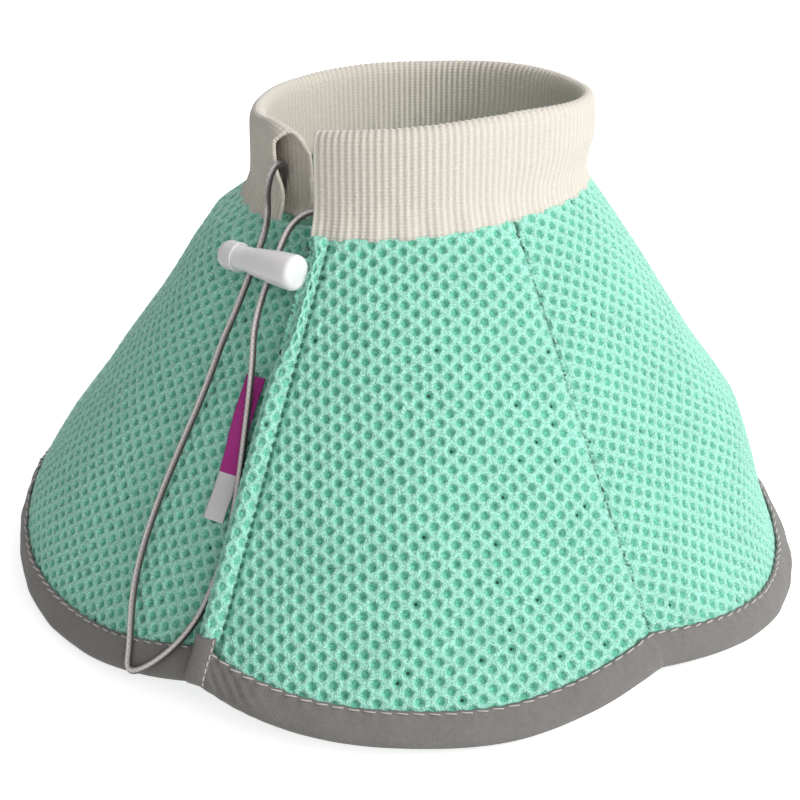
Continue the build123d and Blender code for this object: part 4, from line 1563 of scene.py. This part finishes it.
def cord_route():
    """Points that the free cord passes: out of the band, through the lock, round and back."""
    middle, along, up, _ = lock_frame()
    ring = ring_centre()
    left, right = -0.0029, 0.0035
    above, below = 0.00955, -0.01255

    def lock(strand, height):
        return middle + along * strand + up * height

    def skin(turn, drop, rise):
        return on_cone(turn, drop / 1000, rise / 1000, ring)

    def beside(turn, reach, height):
        place = ring + heading(turn) * reach / 1000
        place[2] = SEAM_HEIGHT + height / 1000
        return settle(place)

    radius, height = CORD_REACH, SEAM_HEIGHT + CORD_RISE
    neck_end = ring + heading(-56) * radius
    base, aside = closure_line()
    across = heading(base + 90)
    off = float((flap_centre() - ring) @ across - aside)
    flap_end = flap_centre() - across * off + heading(base) * math.sqrt(radius**2 - off**2)
    neck_end[2] = flap_end[2] = height
    neck_end, flap_end = settle(neck_end), settle(flap_end)
    return [
        neck_end,
        beside(-55.0, 45.0, 6.6),
        beside(-53.0, 45.0, 10.6),
        beside(-50.8, 46.0, 14.0),
        beside(-49.9, 48.6, 15.0),
        beside(-50.2, 51.0, 12.2),
        beside(-51.0, 51.7, 7.4),
        beside(-51.2, 51.6, 2.8),
        skin(-49.4, 1.8, 3.4),
        lock(left, above),
        lock(left, below),
        skin(-46.4, 35.0, 3.6),
        skin(-46.7, 44.0, 2.2),
        skin(-46.8, 57.0, 1.6),
        skin(-47.2, 72.0, 1.5),
        skin(-47.0, 87.0, 1.5),
        skin(-46.0, 100.0, 1.5),
        skin(-44.4, 109.0, 1.6),
        skin(-42.6, 116.0, 1.8),
        skin(-41.6, 120.8, 1.8),
        skin(-41.2, 124.0, 1.8),
        skin(-40.2, 125.0, 1.8),
        skin(-38.6, 122.9, 1.8),
        skin(-36.5, 118.6, 1.8),
        skin(-34.3, 112.4, 1.8),
        skin(-32.7, 105.2, 1.6),
        skin(-31.9, 96.0, 1.5),
        skin(-31.6, 86.0, 1.5),
        skin(-32.0, 76.0, 1.7),
        skin(-33.0, 66.0, 2.0),
        skin(-34.3, 56.0, 2.1),
        skin(-35.8, 46.0, 2.4),
        skin(-37.3, 36.5, 3.6),
        lock(right, below),
        lock(right, above),
        skin(-38.4, 1.0, 4.2),
        flap_end - across * 0.0030,
        flap_end,
    ]


def spline_line(points):
    """Places along the smooth line that a route's points guide."""
    curve = bpy.data.curves.new("route", "CURVE")
    curve.dimensions = "3D"
    curve.resolution_u = 14
    spline = curve.splines.new("NURBS")
    spline.points.add(len(points) - 1)
    for point, place in zip(spline.points, points):
        point.co = (*place, 1)
    spline.order_u = 4
    spline.use_endpoint_u = True
    obj = bpy.data.objects.new("route", curve)
    bpy.context.scene.collection.objects.link(obj)
    depsgraph = bpy.context.evaluated_depsgraph_get()
    mesh = bpy.data.meshes.new_from_object(obj.evaluated_get(depsgraph), depsgraph=depsgraph)
    line = places_of(mesh)
    bpy.data.meshes.remove(mesh)
    discard(obj)
    return line


def tube(name, line, radius, material, sides=12):
    """Round cord along a line, marked with how far each side faces out from the cone, where its finish paints
    a highlight.
    """
    ahead = np.gradient(line, axis=0)
    ahead /= np.linalg.norm(ahead, axis=1, keepdims=True)
    normal = np.cross(ahead[0], [0.3, 0.2, 0.9])
    rings, lights = [], []
    steps = np.concatenate([[0], np.cumsum(np.linalg.norm(np.diff(line, axis=0), axis=1))])
    angles = np.linspace(0, 2 * math.pi, sides + 1)
    outwards = outwards_at(line)
    for place, way, out in zip(line, ahead, outwards):
        normal = normal - way * (normal @ way)
        normal /= np.linalg.norm(normal)
        side = np.cross(way, normal)
        spokes = np.cos(angles)[:, None] * normal + np.sin(angles)[:, None] * side
        rings.append(place + spokes * radius)
        # How far each side faces out from the cone; the finish paints the highlight there and shade
        # elsewhere.
        lights.append(soft_step(spokes @ out, 0.62, 0.96))
    places = np.array(rings)
    flat = np.stack(np.broadcast_arrays(steps[:, None], angles[None] / (2 * math.pi)), -1)
    mesh = grid_mesh(name, places, flat)
    mark(mesh, "light", np.array(lights))
    obj = place_object(name, mesh, finish_named(material))
    shape = bmesh.new()
    shape.from_mesh(mesh)
    bmesh.ops.remove_doubles(shape, verts=shape.verts, dist=1e-6)
    bmesh.ops.holes_fill(shape, edges=[edge for edge in shape.edges if edge.is_boundary], sides=0)
    shape.to_mesh(mesh)
    shape.free()
    mesh.shade_smooth()
    return obj


def make_cord():
    """The drawcord: its free length through the lock, and the two runs that the band holds."""
    radius = group("trim_sizes").cord / 2
    route = cord_route()
    line = spline_line(route)
    free = tube("drawcord_free", line, radius, "Elastic Cord")
    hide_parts("drawcord_loop")
    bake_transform(free)

    ring, flap = ring_centre(), flap_centre()
    free_turn = float(line_turn(closure_line(), BAND_DROP, flap))
    seam_turn = float(line_turn((HINGE_TURN, 0), BAND_DROP, flap))
    for name, node, centre, start, end in (
        ("drawcord_ring_held", "drawcord_neck_run", ring, HINGE_TURN, 304),
        ("drawcord_flap_held", "drawcord_flap_run", flap, free_turn, seam_turn),
    ):
        turns = np.linspace(start, end, max(24, int(abs(end - start) / 2)))
        places = centre + heading(turns) * CORD_REACH
        places[:, 2] = SEAM_HEIGHT + CORD_RISE
        places = settle(places)
        held = tube(name, places, radius, "Held Cord")
        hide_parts(node)
        if centre is flap:
            blend_flap(held)
        else:
            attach(held, "cone")


def finish_node(node, material):
    """Gives a carried-over CAD part its material."""
    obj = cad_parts[node]
    obj.data.materials.clear()
    obj.data.materials.append(finish_named(material))
    return obj


def make_spring():
    """The cord lock's spring, copied from the frame's part, welded and given its wire finish."""
    obj = place_object("lock_spring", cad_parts["cord_lock_spring"].data.copy())
    obj.data.materials.clear()
    obj.data.materials.append(finish_named("Spring Wire"))
    weld(obj, 0.000001)
    places = places_of(obj.data)
    _, along, _, _ = lock_frame()
    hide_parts("cord_lock_spring")
    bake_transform(obj)


# ---------------------------------------------------------------- label, closure and seam tapes


def strip_place(centre, rise):
    """Function that places a strip beside the closure line; rise may vary over it."""
    base, step_aside = closure_line()
    cone = group("cone_sizes")
    middle = (centre - ring_centre()) @ heading(base + 90)

    def place(drop, aside):
        reach = cone.neck_radius + drop * slopes()[0]
        turn = base + np.degrees(np.arcsin((step_aside + aside - middle) / reach))
        return on_cone(turn, drop, rise(drop, aside), centre)

    return place


def make_label():
    """Small bare woven label that hangs beside the closure."""
    trim = group("trim_sizes")
    low, high = -0.0064 - trim.label_width, -0.0064

    def rise(drop, aside):
        share = (drop - 0.0425) / trim.label_length
        across = (aside - low) / trim.label_width - 0.5
        lift = 0.0007 + 0.0006 * np.sin(share * 5.2) ** 2
        return lift + 0.0009 * soft_step(share, 0.78, 1.02) + 0.0004 * across * np.sin(share * 6)

    strip = strip_place(ring_centre(), rise)

    def place(drop, aside):
        return strip(drop, aside + 0.0024)

    columns = np.linspace(0.0425, 0.0425 + trim.label_length, 60)
    rows = np.linspace(high, low, 12)
    obj = section_strip("label", columns, rows, place, 0.0004, "Woven Label")
    layer = obj.data.uv_layers["cloth"]
    flat = np.zeros(len(layer.data) * 2, np.float32)
    layer.data.foreach_get("uv", flat)
    flat[0::2] -= 0.0425
    layer.data.foreach_set("uv", flat)
    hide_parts("label_tab")
    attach(obj, "cone")


def hook_shape(height, lean):
    """One bent hook or loop of the closure tapes."""
    bend = [(0, 0), (0, 0.55), (0.12, 0.85), (0.38, 1), (0.62, 0.86), (0.7, lean)]
    radius = 0.11 * height
    places, faces, sides = [], [], 4
    for x, z in bend:
        for side in range(sides):
            angle = 2 * math.pi * (side + 0.5) / sides
            out = x * height * 0.8 - 0.25 * height + math.cos(angle) * radius
            places.append((out, math.sin(angle) * radius, z * height))
    for level in range(len(bend) - 1):
        for side in range(sides):
            a, b = level * sides + side, level * sides + (side + 1) % sides
            faces.append((a, b, b + sides, a + sides))
    faces.append(tuple(range(sides))[::-1])
    faces.append(tuple(range((len(bend) - 1) * sides, len(bend) * sides)))
    mesh = bpy.data.meshes.new("hook")
    mesh.from_pydata(places, [], faces)
    shape = bmesh.new()
    shape.from_mesh(mesh)
    bmesh.ops.recalc_face_normals(shape, faces=shape.faces)
    shape.to_mesh(mesh)
    shape.free()
    return place_object("hook", mesh)


def covered_tape(name, start, centre, surface, upwards, pitch, height, lean, body, node):
    """Closure tape: a woven ground under rows of hooks or loops."""
    top, width, long = 0.012, 0.012, 0.092
    place = strip_place(centre, lambda drop, aside: surface + 0 * drop)
    columns = np.linspace(top, top + long, 100)
    rows = np.linspace(start, start + width, 16)
    if upwards > 0:
        rows = rows[::-1]
    ground = section_strip(name, columns, rows, place, 0.0004, "Closure Tape")
    drops, asides = np.meshgrid(
        np.arange(top + 0.001, top + long - 0.0008, pitch),
        np.arange(start + 0.001, start + width - 0.0008, pitch),
    )
    asides = asides + (np.round((drops - top) / pitch) % 2) * pitch / 2
    drops = drops + 0.15 * pitch * np.sin(asides * 9000)
    spots = place(drops, np.minimum(asides, start + width - 0.0008)).reshape(-1, 3)
    up = outwards_at(spots, centre) * upwards
    turned = (asides * 7000 + drops * 3000).ravel()
    round_way = np.cross([0, 0, 1.0], up)
    round_way /= np.linalg.norm(round_way, axis=1, keepdims=True)
    down_way = np.cross(round_way, up)
    if lean > 0.2:
        turned = np.where(np.sin(turned) > 0, 0.0, math.pi)
    along = np.cos(turned)[:, None] * down_way + np.sin(turned)[:, None] * round_way
    points = bpy.data.meshes.new(name + "_face")
    points.from_pydata(spots.tolist(), [], [])
    for label, vectors in (("along", along), ("up", up)):
        store = points.attributes.new(label, "FLOAT_VECTOR", "POINT")
        store.data.foreach_set("vector", np.asarray(vectors, np.float32).ravel())
    face = place_object(name + "_face", points)
    hook = hook_shape(height, lean)
    run_tree(face, stitches_tree(), {"Stitch": hook, "Size": 1.0, "Thread": finish_named("Hook Thread")})
    discard(hook)
    for obj in (ground, face):
        obj.data.shade_smooth()
        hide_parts(node)
        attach(obj, body)


def make_closure():
    """Lap strip under the flap, loop tape on it and hook tape inside the flap."""
    cone = group("cone_sizes")
    thick = cone.cloth_thickness
    ring, flap = ring_centre(), flap_centre()

    def lap_rise(drop, aside):
        edge = soft_step(aside, -0.008, -0.0065) * soft_step(0.018 - aside, 0, 0.001)
        return -thick - 0.0001 + 0.0002 * edge * ripple(drop, aside, 0.02)

    place = strip_place(ring, lap_rise)
    columns, rows = np.linspace(0.006, 0.107, 90), np.linspace(0.018, -0.008, 30)
    lap = section_strip("lap_cloth", columns, rows, place, 0.0011, "Lining Cloth")
    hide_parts("lap_strip")
    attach(lap, "cone")
    covered_tape(
        "loop_tape_ground", 0.0045, ring, 0.0005 - thick, 1,
        0.00115, 0.0011, 0.1, "cone", "loop_tape",
    )
    covered_tape(
        "hook_tape_ground", 0.005, flap, -thick - 0.0005, -1,
        0.0014, 0.0008, 0.45, "flap", "hook_tape",
    )


def make_seam_tapes():
    """Woven tapes sewn over the seam allowances inside, with two rows of stitches on each but the first,
    which has one.
    """
    cone, trim = group("cone_sizes"), group("trim_sizes")
    centre = ring_centre()
    thick = cone.cloth_thickness
    for index in range(1, 6):
        turn = (index - 0.5) * PANEL_TURN
        near = 0.0003 if index == 1 else -0.005
        lobe = cone.lobe_radius - 0.0092
        low = float(hem_drop(np.array([turn]), -thick, lobe, index * PANEL_TURN, centre)[0])

        def place(drop, aside):
            reach = cone.neck_radius + drop * slopes()[0]
            bulge = 0.0003 * np.cos(aside / 0.005 * math.pi) + 0.0001 * ripple(drop, aside, 0.02)
            return on_cone(turn + np.degrees(aside / reach), drop, -thick - 0.0002 - bulge, centre)

        columns = np.linspace(0.0006, low, 100)
        rows = np.linspace(near, 0.005, 14)[::-1]
        obj = section_strip(f"seam_tape_{index}_cloth", columns, rows, place, trim.tape, "Seam Tape")
        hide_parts(f"seam_tape_{index}")
        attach(obj, "cone")
        for side in (-0.0038, 0.0038):
            if side < near:
                continue
            line = place(np.linspace(0.002, low - 0.001, 200), np.full(200, side))
            spots, along = even_spots(line, 0.003)
            up = -outwards_at(spots)
            seam = add_stitches(
                f"seam_tape_{index}_stitches_{'right' if side > 0 else 'left'}",
                spots + up * 0.0001, along, up, "Mint Thread", 0.0022, 0.00035, "cone",
            )


# ---------------------------------------------------------------- stage


def seen_directly(tree):
    """1 for rays of the camera, straight, mirrored or let through, and 0 for light on its way."""
    path = tree.nodes.new("ShaderNodeLightPath")
    mirrored = step(tree, "MAXIMUM", path.outputs["Is Camera Ray"], path.outputs["Is Glossy Ray"])
    return step(tree, "MAXIMUM", mirrored, path.outputs["Is Transmission Ray"])


def plain_white(name, strength):
    """Pale floor that keeps the shadow and looks white to the camera."""
    finish = Finish(name, 0.9)
    finish.shader.inputs["Base Color"].default_value = (0.82, 0.82, 0.82, 1)
    tree = finish.tree
    seen = seen_directly(tree)
    finish.shader.inputs["Emission Color"].default_value = (1, 1, 1, 1)
    tree.links.new(step(tree, "MULTIPLY", seen, strength), finish.shader.inputs["Emission Strength"])
    return finish.material


def make_stage():
    """Pale floor, soft light and the camera."""
    stage = group("stage_sizes")
    scene = bpy.context.scene
    floor_mesh = bpy.data.meshes.new("floor")
    corners = [(x * 3, y * 3, -0.0004) for x, y in ((-1, -1), (1, -1), (1, 1), (-1, 1))]
    floor_mesh.from_pydata(corners, [], [(0, 1, 2, 3)])
    floor = place_object("floor", floor_mesh, plain_white("Pale Floor", 0.70))

    world = bpy.data.worlds.new("Soft Sky")
    world.use_nodes = True
    tree = world.node_tree
    sky = tree.nodes["Background"]
    sky.inputs["Color"].default_value = (1, 1, 1, 1)
    seen = seen_directly(tree)
    level = step(tree, "ADD", step(tree, "MULTIPLY", seen, 1 - stage.sky), stage.sky)
    tree.links.new(level, sky.inputs["Strength"])
    scene.world = world

    middle = Vector((0, 0, 0.07))
    for name, place, size, power in (
        ("key", (0.95, -0.5, 0.8), 0.5, stage.key_power),
        ("fill", (0.45, -1.0, 0.6), 1.1, stage.fill_power),
        ("back", (0.35, 1.1, 0.75), 1.0, stage.back_power),
    ):
        lamp = bpy.data.lights.new(name, "AREA")
        lamp.shape = "DISK"
        lamp.size = size
        lamp.energy = power
        obj = bpy.data.objects.new(name, lamp)
        obj.location = place
        obj.rotation_euler = (middle - Vector(place)).to_track_quat("-Z", "Y").to_euler()
        scene.collection.objects.link(obj)

    camera = bpy.data.cameras.new("camera")
    camera.lens = stage.lens
    camera.sensor_width = 36
    camera.shift_x = -0.01
    obj = bpy.data.objects.new("camera", camera)
    turn, tilt = math.radians(stage.camera_turn), math.radians(stage.camera_tilt)
    foot = Vector(ring_centre())
    away = stage.distance
    obj.location = foot + Vector((away * math.sin(turn), -away * math.cos(turn), stage.camera_height))
    view = Vector((-math.sin(turn) * math.cos(tilt), math.cos(turn) * math.cos(tilt), -math.sin(tilt)))
    obj.rotation_euler = view.to_track_quat("-Z", "Y").to_euler()
    scene.collection.objects.link(obj)
    scene.camera = obj
    scene.view_settings.view_transform = "Standard"


# ---------------------------------------------------------------- operators and panel


class CONE_OT_make_cord(bpy.types.Operator):
    """Make the drawcord, free and held"""

    bl_idname = "cone.make_cord"
    bl_label = "Drawcord"

    def execute(self, context):
        make_cord()
        return {"FINISHED"}


class CONE_OT_make_panels(bpy.types.Operator):
    """Make the six petals of spacer mesh"""

    bl_idname = "cone.make_panels"
    bl_label = "Mesh panels"

    def execute(self, context):
        for name in PANEL_MIDDLES:
            make_panel(name)
        return {"FINISHED"}


class CONE_OT_make_facing(bpy.types.Operator):
    """Make the turned edge of the flap"""

    bl_idname = "cone.make_facing"
    bl_label = "Flap facing"

    def execute(self, context):
        make_facing()
        return {"FINISHED"}


class CONE_OT_make_band(bpy.types.Operator):
    """Make the folded rib-knit neck band"""

    bl_idname = "cone.make_band"
    bl_label = "Neck band"

    def execute(self, context):
        make_band()
        return {"FINISHED"}


class CONE_OT_make_binding(bpy.types.Operator):
    """Make the hem binding, its stitches and its folded end"""

    bl_idname = "cone.make_binding"
    bl_label = "Hem binding"

    def execute(self, context):
        make_binding()
        make_tab()
        return {"FINISHED"}


class CONE_OT_finish_lock(bpy.types.Operator):
    """Give the cord lock's parts their plastic and steel"""

    bl_idname = "cone.finish_lock"
    bl_label = "Cord lock"

    def execute(self, context):
        finish_node("cord_lock_barrel", "Milky Plastic")
        finish_node("cord_lock_plunger", "Milky Plastic")
        make_spring()
        return {"FINISHED"}


class CONE_OT_make_label(bpy.types.Operator):
    """Make the bare woven label"""

    bl_idname = "cone.make_label"
    bl_label = "Label"

    def execute(self, context):
        make_label()
        return {"FINISHED"}


class CONE_OT_make_closure(bpy.types.Operator):
    """Make the lap strip with its loop tape, and the flap's hook tape"""

    bl_idname = "cone.make_closure"
    bl_label = "Closure tapes"

    def execute(self, context):
        make_closure()
        return {"FINISHED"}


class CONE_OT_make_seam_tapes(bpy.types.Operator):
    """Make the tapes over the seams inside"""

    bl_idname = "cone.make_seam_tapes"
    bl_label = "Seam tapes"

    def execute(self, context):
        make_seam_tapes()
        return {"FINISHED"}


class CONE_OT_make_stage(bpy.types.Operator):
    """Make the floor, the soft light and the camera"""

    bl_idname = "cone.make_stage"
    bl_label = "Stage"

    def execute(self, context):
        make_stage()
        return {"FINISHED"}


OPERATORS = (
    CONE_OT_finish_lock,
    CONE_OT_make_cord,
    CONE_OT_make_panels,
    CONE_OT_make_facing,
    CONE_OT_make_band,
    CONE_OT_make_binding,
    CONE_OT_make_label,
    CONE_OT_make_closure,
    CONE_OT_make_seam_tapes,
    CONE_OT_make_stage,
)

GROUPS = {
    "cone_sizes": ConeSizes,
    "cloth_sizes": ClothSizes,
    "band_sizes": BandSizes,
    "trim_sizes": TrimSizes,
    "cone_colours": ConeColours,
    "stage_sizes": StageSizes,
}


class CONE_PT_sidebar(bpy.types.Panel):
    """Lists the cone's pieces"""

    bl_idname = "CONE_PT_sidebar"
    bl_label = "Recovery Cone"
    bl_space_type = "VIEW_3D"
    bl_region_type = "UI"
    bl_category = "Recovery Cone"

    def draw(self, context):
        for operator in OPERATORS:
            self.layout.operator(operator.bl_idname)
        for name, kind in GROUPS.items():
            box = self.layout.box()
            for label in kind.__annotations__:
                box.prop(getattr(context.scene, name), label)


def register():
    for kind in (*GROUPS.values(), *OPERATORS, CONE_PT_sidebar):
        bpy.utils.register_class(kind)
    for name, kind in GROUPS.items():
        setattr(bpy.types.Scene, name, PointerProperty(type=kind))


def unregister():
    for name in GROUPS:
        delattr(bpy.types.Scene, name)
    for kind in reversed((*GROUPS.values(), *OPERATORS, CONE_PT_sidebar)):
        bpy.utils.unregister_class(kind)


def main():
    register()
    for operator in OPERATORS:
        area, name = operator.bl_idname.split(".")
        getattr(getattr(bpy.ops, area), name)()
    bpy.context.view_layer.update()


if __name__ == "__main__":
    main()
